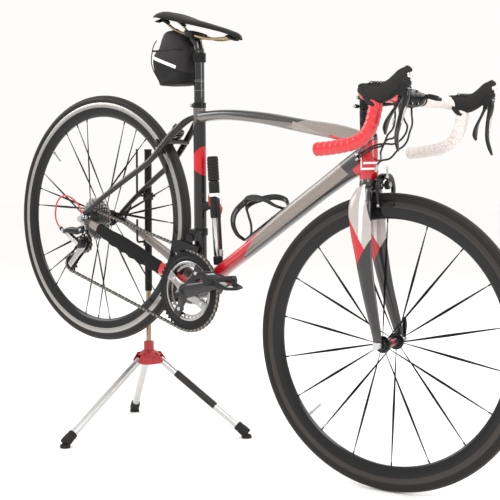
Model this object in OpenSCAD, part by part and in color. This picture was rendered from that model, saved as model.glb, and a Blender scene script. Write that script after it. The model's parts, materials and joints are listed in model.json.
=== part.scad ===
// Road racing bicycle held by the left stays on a folding tripod display stand.
// X runs along the floor towards the front wheel, Y to the rider's left, Z up. The origin is
// on the floor under the middle of the whole object. The rear wheel hangs clear of the floor.

/* [Frame] */
// Distance between the two wheel axles
wheelbase = 983; // [965:1:1240]
// Length of the chainstays, axle to crank axis
chainstay_len = 413; // [395:1:430]
// How far the crank axis lies under the axle line
bb_drop = 70; // [55:1:80]
// Seat tube length from the crank axis to its top
seat_tube_len = 461; // [430:1:560]
// Seat tube angle
seat_angle = 74.3; // [72:0.1:76]
// Head tube angle
head_angle = 73; // [71:0.1:75]
// Length of the head tube
head_tube_len = 95; // [80:1:130]
// Outer radius of the head tube
head_tube_r = 21.5; // [20.5:0.1:25]
// Outer radius of the seat tube
seat_tube_r = 16; // [15.8:0.1:22]
// Radius of the seatpost
seatpost_r = 13.6; // [12.5:0.1:13.8]
// Seatpost showing above the seat tube
seatpost_out = 146; // [90:1:220]

/* [Fork and bar] */
// Fork length from axle to crown, along the steering axis
fork_len = 363; // [350:1:440]
// Fork offset
fork_offset = 43; // [35:1:52]
// How far the front wheel is turned to the left
steer = 7.5; // [0:0.5:20]
// How far the stem is turned, a little short of the wheel
bar_steer = 5.8; // [0:0.1:20]
// Radius of the steerer tube
steerer_r = 14.3; // [12:0.1:16]
// Height of the headset cover and spacers
spacer_stack = 60; // [20:1:70]
// Length of the stem
stem_len = 100; // [80:1:130]
// Half the handlebar width, centre to centre
bar_half = 207; // [180:1:230]
// Radius of the wrapped bar
tape_r = 15; // [13:0.5:18]

/* [Wheels] */
// Outer radius of the tyres
tyre_out_r = 336; // [325:1:345]
// Radius of the tyre's round section
tyre_r = 12.5; // [11:0.5:14]
// Depth of the rims
rim_depth = 38; // [20:1:50]
// Half the width of the rims
rim_half = 10.3; // [8:0.1:12]
// Radial spokes in the front wheel
front_spokes_n = 18; // [12:2:24]
// Spokes in the rear wheel, in groups of three
rear_spokes_n = 21; // [15:3:27]
// Width of the rear hub between the dropouts
rear_old = 130; // [126:1:142]
// Width of the front hub between the fork tips
front_old = 100; // [90:1:110]

/* [Drive] */
// Crank length
crank_len = 172.5; // [160:0.5:180]
// Angle of the right crank above the axle line
crank_angle = 28; // [0:1:60]
// Teeth of the large chainring
ring_teeth = 50; // [46:1:53]
// Teeth of the small chainring
small_ring_teeth = 34; // [30:1:39]
// Teeth of the sprocket that the chain is on
cog_teeth = 14; // [12:1:17]
// Distance of the chain from the middle of the bicycle
chain_line = 46.8; // [45:0.1:49]

/* [Stand] */
// Height of the rear axle above the floor
axle_height = 592.8; // [560:1:640]
// Radius from the post to the middle of each foot
foot_reach = 288; // [240:1:340]
// Outer radius of the upper post
mast_r = 10; // [8.5:0.1:11]
// Outer radius of the lower post
post_r = 7; // [5.5:0.1:7.6]
// Height of the top of the upper post
mast_top = 782; // [760:1:860]
// Radius of the leg tubes
leg_r = 10; // [8:0.5:12]
// Radius of the hook rods
hook_r = 3; // [2:0.1:4]

/* [Fits] */
// Radial gap of a turning or sliding fit
run_gap = 0.05; // [0.03:0.01:0.09]
// Gap between pieces that pass each other
pass_gap = 0.6; // [0.4:0.1:1]

/* [Hidden] */
$fn = 48;

// --- where things are -------------------------------------------------------------------
// The bicycle is laid out on its own axle line, X forward and Z up from the rear axle, and
// then leans nose-down until its front tyre stands on the floor.
lean = asin((axle_height - tyre_out_r) / wheelbase);
bb = [sqrt(pow(chainstay_len, 2) - pow(bb_drop, 2)), 0, -bb_drop];
front_axle = [wheelbase, 0, 0];
seat_up = [-cos(seat_angle), 0, sin(seat_angle)];
steer_up = [-cos(head_angle), 0, sin(head_angle)];
steer_out = [sin(head_angle), 0, cos(head_angle)];
steer_foot = front_axle - fork_offset * steer_out;
seat_top = bb + seat_tube_len * seat_up;
crown_gap = 4;
head_low_s = fork_len + crown_gap;
head_high_s = head_low_s + head_tube_len;
stem_half = 20;
stem_s = head_high_s + spacer_stack + stem_half;
bar_at = steer_foot + stem_s * steer_up + stem_len * steer_out;

function on_axis(s) = steer_foot + s * steer_up;
function unit(v) = v / norm(v);
function turned(p, by = steer) = let(q = p - steer_foot, a = steer_up)
    steer_foot + q * cos(by) + cross(a, q) * sin(by) + a * (a * q) * (1 - cos(by));
function leaned(p) = [p.x * cos(lean) + p.z * sin(lean), p.y,
    -p.x * sin(lean) + p.z * cos(lean) + axle_height];
function between(a, b, t) = a + (b - a) * t;
function mirrored(pts) = [for (p = pts) [p.x, -p.y, p.z]];

// The origin is under the middle of the object: the wheels set its length, the foot towards
// the drive side and the tip of the left brake lever its width.
turned_axle = leaned(turned(front_axle));
wheel_turn = leaned(turned([0, 1, 0] + front_axle)) - turned_axle;
ring_mid_r = tyre_out_r - tyre_r;
reach_ahead = turned_axle.x + ring_mid_r * sqrt(1 - pow(wheel_turn.x, 2)) + tyre_r;
foot_r = 14;
tip_left = leaned(turned(bar_at + [128, bar_half + 23, -90], bar_steer));
middle = [(reach_ahead - tyre_out_r) / 2, (tip_left.y + 4 - 209 - foot_r) / 2, 0];

module on_floor() { translate(-middle) children(); }
module on_bike() { on_floor() translate([0, 0, axle_height]) rotate([0, lean, 0]) children(); }
module on_steerer(by) {
    on_bike() translate(steer_foot) rotate(a = by, v = steer_up) translate(-steer_foot) children();
}
module on_fork() { on_steerer(steer) children(); }
module on_bar() { on_steerer(bar_steer) children(); }
// Frame of a brake: Z away from the axle, X out of the fork crown or stay bridge
module at_front_brake() { on_fork() translate(front_axle) rotate([0, head_angle - 90, 0]) children(); }
bridge_angle = 50;
module at_rear_brake() {
    on_bike() rotate([0, 90 - bridge_angle, 0]) rotate([0, 0, 180]) children();
}

seatstay_h = 7.5;
chainstay_h = 12;
dropout_t = 6;
stay_y = rear_old / 2 + dropout_t / 2;
// Right-hand stays from the dropout forwards
chainstay_mid = [[8, -stay_y, -3], [60, -63, -9], [150, -55, -22], [235, -46, -37],
    [300, -35, -50], bb + [-52, -29, 8], bb + [-14, -20, 2]];
seatstay_mid = [[0, -stay_y, 14], [45, -62, 66], [115, -53, 139], [187, -43, 214],
    seat_top + [-42, -31, -72], seat_top + [-12, -17, -22]];

// --- shapes used by many pieces -----------------------------------------------------------
// A straight round bar between two points, r2 for a tapered one
module bar(a, b, r, r2 = undef) {
    v = b - a;
    translate(a) rotate([0, acos(v.z / norm(v)), atan2(v.y, v.x)])
        cylinder(h = norm(v), r1 = r, r2 = r2 == undef ? r : r2);
}
// A ring or bush between two points
module sleeve(a, b, r, hole) {
    d = unit(b - a);
    difference() { bar(a, b, r); bar(a - d, b + d, hole); }
}
// A disc across the bicycle, from y0 to y1
module disc(c, y0, y1, r, fn = 48) {
    translate([c.x, max(y0, y1), c.z]) rotate([90, 0, 0]) cylinder(h = abs(y1 - y0), r = r, $fn = fn);
}
// A plate across the bicycle, its outline given as [x, z] points
module plate(outline, y0, y1) {
    translate([0, max(y0, y1), 0]) rotate([90, 0, 0]) linear_extrude(abs(y1 - y0)) polygon(outline);
}
function tangents(p) = [for (i = [0:len(p) - 1]) unit(p[min(i + 1, len(p) - 1)] - p[max(i - 1, 0)])];
function carry(t, n, i = 0) = i >= len(t) ? [] :
    let(m = unit(n - (n * t[i]) * t[i])) concat([m], carry(t, m, i + 1));
function at(v, i) = is_list(v) ? v[i] : v;
// A bent or tapered limb along points: w is its half width across the bicycle, h its other half
module limb(p, w, h, sides = 16, across = [0, 1, 0]) {
    t = tangents(p);
    m = carry(t, across);
    ring = [for (i = [0:len(p) - 1], k = [0:sides - 1]) p[i] + m[i] * at(w, i) * cos(360 * k / sides)
        + cross(t[i], m[i]) * at(h, i) * sin(360 * k / sides)];
    last = (len(p) - 1) * sides;
    polyhedron(ring, concat([[for (k = [0:sides - 1]) k]], [[for (k = [sides - 1:-1:0]) last + k]],
        [for (i = [0:len(p) - 2], k = [0:sides - 1]) let(a = i * sides, n = (k + 1) % sides)
            [a + k, a + sides + k, a + sides + n, a + n]]));
}
module cord(p, r, sides = 8) { limb(p, r, r, sides, [0.1, 1, 0.2]); }

// --- stand ----------------------------------------------------------------------------------
mast_at = [101, 79, 0];
leg_turn = [24.8, 264.8, 144.8];
leg_pin_out = 34;
leg_pin_z = 203;
leg_pin_r = 4;
foot_lift = 8;
foot_len = 42;
cheek = 3;
collar_r = 14;
collar_top = 253;
hub_top = 228;
hub_low = 190;
lower_post_top = 640;
mast_low = 393;
hub_core_r = 24;
hook_in = 42;

module on_mast() { on_floor() translate(mast_at) children(); }
module leg_frame(i) { on_mast() rotate([0, 0, leg_turn[i]]) children(); }
module stand_hub() {
    color("crimson") difference() {
        on_mast() union() {
            translate([0, 0, hub_top - 8]) cylinder(h = collar_top - hub_top + 8, r = collar_r);
            translate([0, 0, hub_low]) cylinder(h = hub_top - hub_low - 12, r = hub_core_r);
            translate([0, 0, hub_top - 12]) cylinder(h = 12, r1 = hub_core_r + 12, r2 = collar_r + 3);
            for (turn = leg_turn, side = [-1, 1]) rotate([0, 0, turn])
                translate([0, side * (leg_r + cheek / 2 + pass_gap) - cheek / 2, 0]) rotate([90, 0, 0])
                    translate([0, 0, -cheek]) linear_extrude(cheek) polygon([[15, hub_low + 1],
                        [leg_pin_out + 4, hub_low + 3], [leg_pin_out + 12, leg_pin_z], [30, hub_top - 4],
                        [15, hub_top - 4]]);
        }
        on_mast() translate([0, 0, hub_low - 1]) cylinder(h = 80, r = post_r + run_gap);
        // each leg has room to fold down between its cheeks
        for (turn = leg_turn) on_mast() rotate([0, 0, turn]) {
            translate([leg_pin_out, 0, leg_pin_z]) rotate([90, 0, 0])
                cylinder(h = 2 * (leg_r + pass_gap), r = leg_r + 4, center = true);
        }
    }
    color("dimgray") for (turn = leg_turn) on_mast() rotate([0, 0, turn])
        translate([leg_pin_out, 0, leg_pin_z]) rotate([90, 0, 0]) cylinder(h = 31, r = leg_pin_r, center = true);
}
module stand_leg(i) {
    leg_foot = [foot_reach, 0, foot_lift];
    pin = [leg_pin_out, 0, leg_pin_z];
    along = unit(leg_foot - pin);
    leg_frame(i) {
        color("silver") difference() {
            bar(pin - 2 * along, leg_foot - foot_len / 2 * along, leg_r);
            translate(pin) rotate([90, 0, 0]) cylinder(h = 60, r = leg_pin_r + run_gap, center = true);
        }
        color("black") difference() {
            bar(leg_foot - foot_len * along, leg_foot, foot_r);
            bar(leg_foot - 60 * along, leg_foot - foot_len / 2 * along, leg_r);
            translate([0, -30, -40]) cube([400, 60, 40]);
        }
    }
}
module stand_leg_right() { stand_leg(0); }
module stand_leg_near() { stand_leg(1); }
module stand_leg_back() { stand_leg(2); }
module lower_post() {
    color("tan") on_mast() translate([0, 0, hub_low]) difference() {
        cylinder(h = lower_post_top - hub_low, r = post_r);
        translate([0, 0, -1]) cylinder(h = lower_post_top - hub_low + 2, r = post_r - 1.5);
    }
}
module upper_post() {
    color("black") on_mast() {
        difference() {
            translate([0, 0, mast_low]) cylinder(h = mast_top - mast_low - 3, r = mast_r);
            translate([0, 0, mast_low - 1]) cylinder(h = mast_top - mast_low - 12, r = post_r + run_gap);
        }
        translate([0, 0, mast_top - 3]) cylinder(h = 3, r = mast_r + 1);
    }
}
// The two stays of the left side where they pass the post, in floor coordinates
stay_low = [for (p = mirrored(chainstay_mid)) leaned(p)];
stay_high = [for (p = mirrored(seatstay_mid)) leaned(p)];
function crossing(p) = let(hit = [for (i = [0:len(p) - 2]) if (p[i].x <= mast_at.x && p[i + 1].x > mast_at.x)
    between(p[i], p[i + 1], (mast_at.x - p[i].x) / (p[i + 1].x - p[i].x))]) hit[0];
stay_slope_room = 1.35;
upper_hook_z = crossing(stay_high).z - seatstay_h * stay_slope_room - hook_r - pass_gap;
lower_hook_z = crossing(stay_low).z - chainstay_h * stay_slope_room - hook_r - pass_gap;
// A rod hook on a clamp collar: out under the stay, then up on its inner side
module hook(z, rise) {
    on_mast() {
        color("black") sleeve([0, 0, z - 12], [0, 0, z + 8], mast_r + 4, mast_r + run_gap);
        color("dimgray") translate([mast_r + 3, 0, z]) rotate([0, 90, 0]) cylinder(h = 12, r = 3.5);
        color("black") difference() {
            limb([[0, -mast_r - 2, z], [0, 6 - hook_in, z], [0, 3 - hook_in, z + 1], [0, 1 - hook_in, z + 3],
                [0, -hook_in, z + 6], [0, -hook_in, z + rise]], hook_r, hook_r, 12, [1, 0, 0]);
            translate([0, 0, z - 12]) cylinder(h = 20, r = mast_r + 2);
        }
    }
}
module upper_hook() { hook(upper_hook_z, mast_top - upper_hook_z); }
module lower_hook() { hook(lower_hook_z, 62); }

// --- frame ----------------------------------------------------------------------------------
head_bore_r = 18;
down_tube_top = on_axis(head_low_s + 50);
bb_half = 34;
bb_shell_r = 23;
spindle_r = 12;

// Head tube, with the two bearings and the cover of the headset in it
module head_tube() {
    color("red") on_bike() sleeve(on_axis(head_low_s), on_axis(head_high_s), head_tube_r, head_bore_r);
    color("dimgray") on_bike() {
        for (s = [head_low_s + 1, head_high_s - 9])
            sleeve(on_axis(s), on_axis(s + 8), head_bore_r - run_gap, steerer_r + run_gap);
        sleeve(on_axis(head_high_s + 0.3), on_axis(head_high_s + 9), 20, steerer_r + run_gap);
    }
}
module top_tube() {
    rear = seat_top - 22 * seat_up;
    head = on_axis(head_high_s - 15);
    color("dimgray") on_bike() difference() {
        limb([rear + [4, 0, 1], rear + [70, 0, 22], rear + [180, 0, 43], rear + [330, 0, 57],
            between(rear, head, 0.9) + [0, 0, 12], head + [-14, 0, 4]],
            [15, 17, 18, 18, 17, 16], [13, 13, 14, 16, 18, 17]);
        bar(seat_top - 80 * seat_up, seat_top + 20 * seat_up, seat_tube_r);
        bar(on_axis(head_low_s - 9), on_axis(head_high_s + 20), head_tube_r);
    }
}
module down_tube() {
    color("gray") on_bike() difference() {
        limb([bb, between(bb, down_tube_top, 0.15) + [0, 0, 7], between(bb, down_tube_top, 0.35) + [0, 0, 7],
            between(bb, down_tube_top, 0.58) + [0, 0, 12], between(bb, down_tube_top, 0.78) + [0, 0, 11],
            between(bb, down_tube_top, 0.91) + [0, 0, 8], down_tube_top],
            [28, 24, 23, 22, 21, 19, 17], [18, 16, 17.5, 21.5, 22.5, 26, 31]);
        disc(bb, -60, 60, bb_shell_r);
        bar(bb, seat_top, seat_tube_r);
        bar(on_axis(head_low_s - 9), on_axis(head_high_s + 9), head_tube_r);
        // room for the fork crown
        bar(on_axis(head_low_s - 60), on_axis(head_low_s), 24);
    }
}
// Seat tube with the crank bearings' shell, and the clamp collar on its top
module seat_tube() {
    color("dimgray") on_bike() difference() {
        union() {
            bar(bb, seat_top, seat_tube_r);
            disc(bb, -bb_half, bb_half, bb_shell_r);
            for (side = [-1, 1]) disc(bb, side * bb_half, side * (bb_half + 7), bb_shell_r - 3);
        }
        bar(seat_top - 160 * seat_up, seat_top + seat_up, seatpost_r + run_gap);
        disc(bb, -60, 60, spindle_r + run_gap);
    }
    color("black") on_bike() {
        sleeve(seat_top + 0.2 * seat_up, seat_top + 14 * seat_up, seat_tube_r + 1.5, seatpost_r + run_gap);
        translate(seat_top + 8 * seat_up) rotate([0, seat_angle - 90, 0]) translate([-seat_tube_r - 11, -4, -5])
            difference() { cube([11, 8, 10]); translate([5, 4, 5]) rotate([90, 0, 0])
                cylinder(h = 20, r = 2.1, center = true); }
    }
    color("silver") on_bike() translate(seat_top + 8 * seat_up) rotate([0, seat_angle - 90, 0])
        translate([-seat_tube_r - 6, 0, 0]) rotate([90, 0, 0]) cylinder(h = 16, r = 2, center = true);
}
module stays_cut() {
    bar(bb, seat_top + 9 * seat_up, seat_tube_r);
    disc(bb, -60, 60, bb_shell_r);
}
module seatstays() {
    color("black") on_bike() difference() {
        union() {
            for (p = [seatstay_mid, mirrored(seatstay_mid)])
                limb(p, [5, 6, 6.5, 7, 8, 9], [6, 7, seatstay_h, 8, 9, 9]);
            rotate([0, 90 - bridge_angle, 0]) translate([-6, -38, 348]) cube([12, 76, 16]);
        }
        stays_cut();
        for (side = [-1, 1]) disc([0, 0, 0], side * (rear_old / 2 - 4), side * (rear_old / 2 + 12), 15);
    }
    color("silver") at_rear_brake() brake_mount(rear_brake_out, 5, 1);
}
module chainstays() {
    color("gray") on_bike() {
        difference() {
            union() {
                for (p = [chainstay_mid, mirrored(chainstay_mid)])
                    limb(p, [4, 5.5, 6.5, 7, 7, 7, 8], [9, 11, chainstay_h, 14, 16, 17, 17]);
                for (side = [-1, 1]) disc([0, 0, 0], side * rear_old / 2, side * (rear_old / 2 + dropout_t), 14.9);
                plate([[-7, -8], [9, -8], [16, -27], [8, -36], [0, -27]], -rear_old / 2, -rear_old / 2 - dropout_t);
                // bridge behind the crank axis, clear of the tyre
                translate(bb + [-56, -33, 2]) cube([12, 66, 14]);
            }
            stays_cut();
            down_tube_room();
            disc([0, 0, 0], -rear_old / 2, rear_old / 2, 24);
            for (side = [-1, 1]) disc([0, 0, 0], side * (rear_old / 2 + dropout_t), side * 99, 15);
            disc([0, 0, 0], -99, 99, 5.2);
            disc(hanger, -99, 0, 4);
        }
    }
}
module down_tube_room() { bar(bb, down_tube_top, 28.5); }
module chainstay_guard() {
    color("black") on_bike() difference() {
        limb([[62, -63, -9], [110, -59.5, -18], [170, -53, -27], [225, -47, -37], [286, -38, -48]],
            [9, 10.5, 11, 10.5, 9], [15, 18, 21, 20, 18]);
        limb(chainstay_mid, [4, 5.5, 6.5, 7, 7, 7, 8], [9, 11, chainstay_h, 14, 16, 17, 17]);
    }
}
// --- seat -------------------------------------------------------------------------------------
post_top = seat_top + seatpost_out * seat_up;
clamp_at = post_top + [-21.5, 0, 35];
rail_y = 21;
rail_r = 3.5;
module seatpost() {
    color("black") on_bike() {
        bar(seat_top - 115 * seat_up, post_top, seatpost_r);
        limb([post_top - 6 * seat_up, post_top + [-8, 0, 13], clamp_at - [2, 0, 9]], [13.4, 12, 12], [13.4, 12, 14]);
        difference() {
            translate(clamp_at - [19, rail_y + 8, 8.5]) cube([38, 2 * rail_y + 16, 14]);
            for (side = [-1, 1]) translate(clamp_at + [0, side * rail_y, 0]) rotate([0, 90, 0])
                cylinder(h = 60, r = rail_r + run_gap, center = true);
        }
    }
    color("silver") on_bike() for (dx = [-13, 13])
        bar(clamp_at + [dx, 0, -22], clamp_at + [dx, 0, -8.7], 2.5);
}
module saddle() {
    top = clamp_at + [0, 0, 26.5];
    color("black") on_bike() difference() {
        limb([top + [-116, 0, -3], top + [-104, 0, -2], top + [-84, 0, 0], top + [-58, 0, 0], top + [-20, 0, 0],
            top + [20, 0, 0], top + [62, 0, 0], top + [112, 0, -1], top + [142, 0, -5], top + [153, 0, -9]],
            [40, 58, 67, 66, 50, 34, 24, 19, 16, 7], [6, 11, 14, 14, 13, 12, 10, 8.5, 7.5, 4], 20);
        translate(clamp_at + [-80, -24, -20]) cube([180, 48, 31]);
    }
    color("peru") on_bike() for (side = [-1, 1]) translate([0, side * rail_y, 0])
        limb([clamp_at + [-84, 8 * side, 20], clamp_at + [-62, 3 * side, 6], clamp_at + [-45, 0, 0],
            clamp_at + [55, 0, 0], clamp_at + [80, -4 * side, 4], clamp_at + [122, -13 * side, 14]],
            rail_r, rail_r, 12);
}
bag_half = 38;
bag_room = 120;
module saddle_bag() {
    color("dimgray") on_bike() {
        intersection() {
            plate([for (p = [[-110, -33], [-112, -79], [-104, -102], [-60, -144], [18, -118], [14, -76], [4, -44],
                [-24, -25], [-53, -22]]) [clamp_at.x + p.x, clamp_at.z + p.y]], -bag_half, bag_half);
            // narrower towards the post
            translate([clamp_at.x, 0, clamp_at.z - 2 * bag_room]) linear_extrude(3 * bag_room)
                polygon([[-113, -26], [-100, -36], [-84, -bag_half], [-30, -bag_half], [8, -26], [26, -13],
                    [26, 13], [8, 26], [-30, bag_half], [-84, bag_half], [-100, 36], [-113, 26]]);
        }
        // the strap round the post
        sleeve(post_top - 30 * seat_up, post_top - 7 * seat_up, seatpost_r + 4, seatpost_r + 0.3);
    }
}

// --- fork and handlebar -----------------------------------------------------------------------
module fork() {
    crown = fork_len - 2;
    color("silver") at_front_brake() difference() {
        union() {
            for (side = [-1, 1])
                limb([[-2, side * (front_old / 2 + 3.5), -7], [-4, side * (front_old / 2 + 3.5), 18],
                    [-14, side * 50, 65], [-27, side * 45, crown - 240], [-40, side * 40, crown - 165],
                    [-48, side * 36, crown - 105], [-50, side * 30, crown - 45], [-fork_offset - 2, side * 20, crown - 20]],
                    [3.4, 5, 7, 8.5, 9.5, 10.5, 12, 14], [9, 11, 14, 17, 21, 26, 27, 22]);
            translate([-fork_offset, 0, crown - 26]) cylinder(h = 26, r = 23);
            translate([-fork_offset, 0, crown]) cylinder(h = crown_gap + 1.5, r1 = 23, r2 = 20);
            translate([-fork_offset, 0, crown - 10]) cylinder(h = stem_s + stem_half - crown + 8, r = steerer_r);
        }
        disc([0, 0, 0], -99, 99, 5.2);
        disc([0, 0, 0], -front_old / 2, front_old / 2, 30);
        rotate([90, 0, 0]) cylinder(h = 2 * tyre_r + 12, r = tyre_out_r + 5, center = true);
    }
    color("dimgray") at_front_brake() brake_mount(brake_out, -fork_offset + 20, -1);
}
module stem() {
    at_bar = on_axis(stem_s) + stem_len * steer_out;
    color("black") on_bar() {
        difference() {
            union() {
                bar(on_axis(stem_s - stem_half), on_axis(stem_s + stem_half), 18);
                bar(on_axis(stem_s), at_bar, 16, 17);
                disc(at_bar, -23, 23, 21);
                for (dy = [-7, 7]) bar(on_axis(stem_s + 10 * sign(dy)) - 14 * steer_out + [0, dy, 0],
                    on_axis(stem_s + 10 * sign(dy)) - 25 * steer_out + [0, dy, 0], 5);
            }
            bar(on_axis(stem_s - 40), on_axis(stem_s + 40), steerer_r + run_gap);
            disc(at_bar, -40, 40, 15.9 + run_gap);
        }
        for (i = [0:2]) sleeve(on_axis(head_high_s + 9.4 + i * spacer_each), on_axis(head_high_s + 9.2 +
            (i + 1) * spacer_each), 17, steerer_r + run_gap);
        bar(on_axis(stem_s + stem_half + 0.2), on_axis(stem_s + stem_half + 5), 17.5, 16);
    }
}
spacer_each = (spacer_stack - 9.4) / 3;
// Right half of the handlebar from the stem to its end, relative to the middle of the bar
bar_line = [for (p = [[0, -25, 0], [0, -60, 0], [0, -115, 0], [1, -150, 0], [4, -177, 1], [12, -195, 1],
    [24, -204, 0], [34, -207, -5], [41, -207, -17], [43, -207, -36], [42, -207, -62], [38, -208, -76],
    [29, -208, -90], [16, -209, -102], [0, -210, -111], [-18, -210, -119], [-40, -210, -128], [-69, -210, -138]])
    bar_at + [p.x, p.y * bar_half / 207, p.z]];
function part_of(p, a, b) = [for (i = [a:b]) p[i]];
module handlebar() {
    color("black") on_bar() {
        disc(bar_at, -40, 40, 15.85);
        for (p = [part_of(bar_line, 0, 2), mirrored(part_of(bar_line, 0, 2))])
            limb(concat([p[0], between(p[0], p[1], 0.5)], [p[1]]), [15, 14, 12], [15, 14, 12], 16, [0, 0, 1]);
        // computer mount in front of the stem
        translate(bar_at + [25, 24, 8]) difference() {
            cube([34, 26, 9]);
            translate([17, 13, 5]) cylinder(h = 9, r = 9);
        }
        bar(bar_at + [10, 37, 2], bar_at + [30, 37, 12], 5);
    }
}
module tape(p) { on_bar() limb(part_of(p, 1, 17), tape_r, tape_r, 14, [0, 0, 1]); }
module tape_right() { color("red") tape(bar_line); }
module tape_left() { color("white") tape(mirrored(bar_line)); }

lever_pin = [102, -bar_half, 28];
lever_pin_r = 2.5;
lever_half = 8;
module hood(side) {
    on_bar() translate(bar_at) scale([1, side, 1]) {
        color("black") limb([for (p = [[2, 8], [12, 7], [28, 5], [50, 11], [68, 25], [80, 42], [89, 57], [94, 69]])
            [p.x, -bar_half, p.y]], [11, 16, 18, 18, 17, 16, 14, 7], [6, 14, 22, 20.5, 18, 16.5, 15, 8], 16);
        for (dy = [-1, 1]) color("dimgray") difference() {
            translate([80, -bar_half + dy * (lever_half + 2.2) - 1.2, 36]) rotate([0, 24, 0])
                translate([0, 0, -12]) cube([26, 2.4, 12]);
        }
        color("silver") bar([102, -bar_half - lever_half - 3, 28], [102, -bar_half + lever_half + 3, 28], lever_pin_r);
    }
}
module hood_right() { hood(1); }
module hood_left() { hood(-1); }
module brake_lever(side) {
    paddle_pin = [93, -bar_half, 10];
    color("black") on_bar() translate(bar_at) scale([1, side, 1]) difference() {
        union() {
            disc(lever_pin, -bar_half - lever_half, -bar_half + lever_half, 6.3);
            limb([[102, -bar_half, 28], [105, -bar_half - 1, 16], [106, -bar_half - 3, -4],
                [107, -bar_half - 7, -32], [112, -bar_half - 15, -62], [124, -bar_half - 22, -84],
                [128, -bar_half - 23, -91]], [7.5, 8, 8, 7.5, 6.5, 5.5, 3], [5.5, 6.5, 6, 5, 4, 3.5, 2], 12);
            bar(paddle_pin, paddle_pin + [12, 0, 0], 2);
        }
        disc(lever_pin, -bar_half - 30, -bar_half + 30, lever_pin_r + run_gap);
    }
}
module brake_lever_right() { brake_lever(1); }
module brake_lever_left() { brake_lever(-1); }
module shift_lever(side) {
    color("black") on_bar() translate(bar_at) scale([1, side, 1]) difference() {
        union() {
            bar([88, -bar_half, 10], [96, -bar_half, 10], 5);
            limb([[92, -bar_half + 0.5, 8], [88, -bar_half - 1, -10], [83, -bar_half - 4, -26],
                [80, -bar_half - 7, -42], [81, -bar_half - 10, -58], [85, -bar_half - 12, -67]],
                [4, 4, 5, 9, 9, 4], [3.5, 3, 3.5, 4, 4, 2], 12);
        }
        bar([80, -bar_half, 10], [99, -bar_half, 10], 2 + run_gap);
    }
}
module shift_lever_right() { shift_lever(1); }
module shift_lever_left() { shift_lever(-1); }

// --- brakes -----------------------------------------------------------------------------------
brake_pivot_z = tyre_out_r + 17;
brake_out = -fork_offset + 32;
pad_gap = 2;
pad_y = rim_half + pad_gap;
track_z = tyre_out_r - 28;
brake_layer = 9.5;
brake_arm_t = 8.5;
brake_pin_r = 3;
brake_pin_y = 17;
rear_brake_out = 10;
// Centre bolt, back plate and side pin that carry the two arms; side is the side of the pin
module brake_mount(out, back, side) {
    translate([back, 0, brake_pivot_z]) rotate([0, 90, 0]) {
        cylinder(h = out + brake_layer + brake_arm_t + 4 - back, r = brake_pin_r);
        cylinder(h = out - pass_gap - back, r = 8);
    }
    translate([out + brake_layer + brake_arm_t + 0.8, 0, brake_pivot_z]) rotate([0, 90, 0]) cylinder(h = 3, r = 6);
    translate([out - pass_gap - 4, side > 0 ? 0 : -brake_pin_y - 5, brake_pivot_z - 5]) cube([4, brake_pin_y + 5, 10]);
    translate([out - 2, side * brake_pin_y, brake_pivot_z]) rotate([0, 90, 0])
        cylinder(h = brake_arm_t + 2.3, r = brake_pin_r);
}
// One arm of a caliper: side -1 or 1 of the wheel; layer 0 turns on the side pin, 1 on the bolt
module brake_arm(side, layer, out) {
    x = out + layer * brake_layer;
    pivot_y = layer == 0 ? side * brake_pin_y : 0;
    low = brake_pivot_z - 11;
    difference() {
        union() {
            translate([x, 0, 0]) rotate([90, 0, 90]) linear_extrude(brake_arm_t) polygon([
                for (p = [[-pivot_y * side - 9, brake_pivot_z + 2], [-14, brake_pivot_z + 20],
                    [-3, brake_pivot_z + 24], [12, brake_pivot_z + 14], [26, brake_pivot_z + 4],
                    [31, brake_pivot_z - 14], [29, track_z - 8], [21, track_z - 8], [20, track_z + 12],
                    [17, low], [8, low], [0, low]]) [side * p.x, p.y]]);
            translate([x, pivot_y, brake_pivot_z]) rotate([0, 90, 0]) cylinder(h = brake_arm_t, r = 10);
        }
        translate([x - 1, pivot_y, brake_pivot_z]) rotate([0, 90, 0]) cylinder(h = 12, r = brake_pin_r + run_gap);
        // the outer arm turns about this pin, the inner one swings past it
        if (layer == 0) translate([x - 1, 0, brake_pivot_z]) rotate([0, 90, 0]) cylinder(h = 12, r = brake_pin_r + 2);
    }
    // pad in its holder, face to face with the rim's track
    translate([x + (layer == 0 ? 10 : -2), side * (pad_y + 4.5), track_z]) cube([46, 9, 9], center = true);
}
module front_brake_arm_right() { color("black") at_front_brake() brake_arm(-1, 0, brake_out); }
module front_brake_arm_left() { color("black") at_front_brake() brake_arm(1, 1, brake_out); }
module rear_brake_arm_right() { color("black") at_rear_brake() brake_arm(1, 0, rear_brake_out); }
module rear_brake_arm_left() { color("black") at_rear_brake() brake_arm(-1, 1, rear_brake_out); }

// --- wheels -----------------------------------------------------------------------------------
rim_out_r = tyre_out_r - 2 * tyre_r + 5;
rim_in_r = rim_out_r - rim_depth;
rim_wall = 2.5;
module in_front() { on_fork() translate(front_axle) children(); }
module ring_of(n) { for (i = [0:n - 1]) rotate([0, 360 * i / n, 0]) children(); }
module tyre() {
    color("black") rotate([90, 0, 0]) rotate_extrude($fn = 96) difference() {
        translate([ring_mid_r, 0]) circle(tyre_r);
        translate([0, -20]) square([rim_out_r + 0.2, 40]);
    }
}
function flipped(p) = [for (q = p) [q.x, -q.y]];
function backwards(p) = [for (i = [len(p) - 1:-1:0]) p[i]];
module rim(valve_angle) {
    side = [[rim_out_r, rim_half], [rim_out_r - 13, rim_half], [rim_in_r + 6, 7.5], [rim_in_r, 3]];
    inside = [[rim_in_r + rim_wall, 2], [rim_in_r + 7, 5], [rim_out_r - 13, rim_half - rim_wall],
        [rim_out_r, rim_half - rim_wall]];
    color("black") {
        rotate([90, 0, 0]) rotate_extrude($fn = 96)
            polygon(concat(side, backwards(flipped(side)), backwards(flipped(inside)), inside));
        rotate([0, -valve_angle, 0]) bar([rim_in_r - 46, 0, 0], [rim_in_r + 1.5, 0, 0], 2.6);
    }
}
front_flange_y = 33;
front_flange_r = 19;
axle_r = 6;
spoke_r = 1;
front_spoke_at = 6.5;
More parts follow.
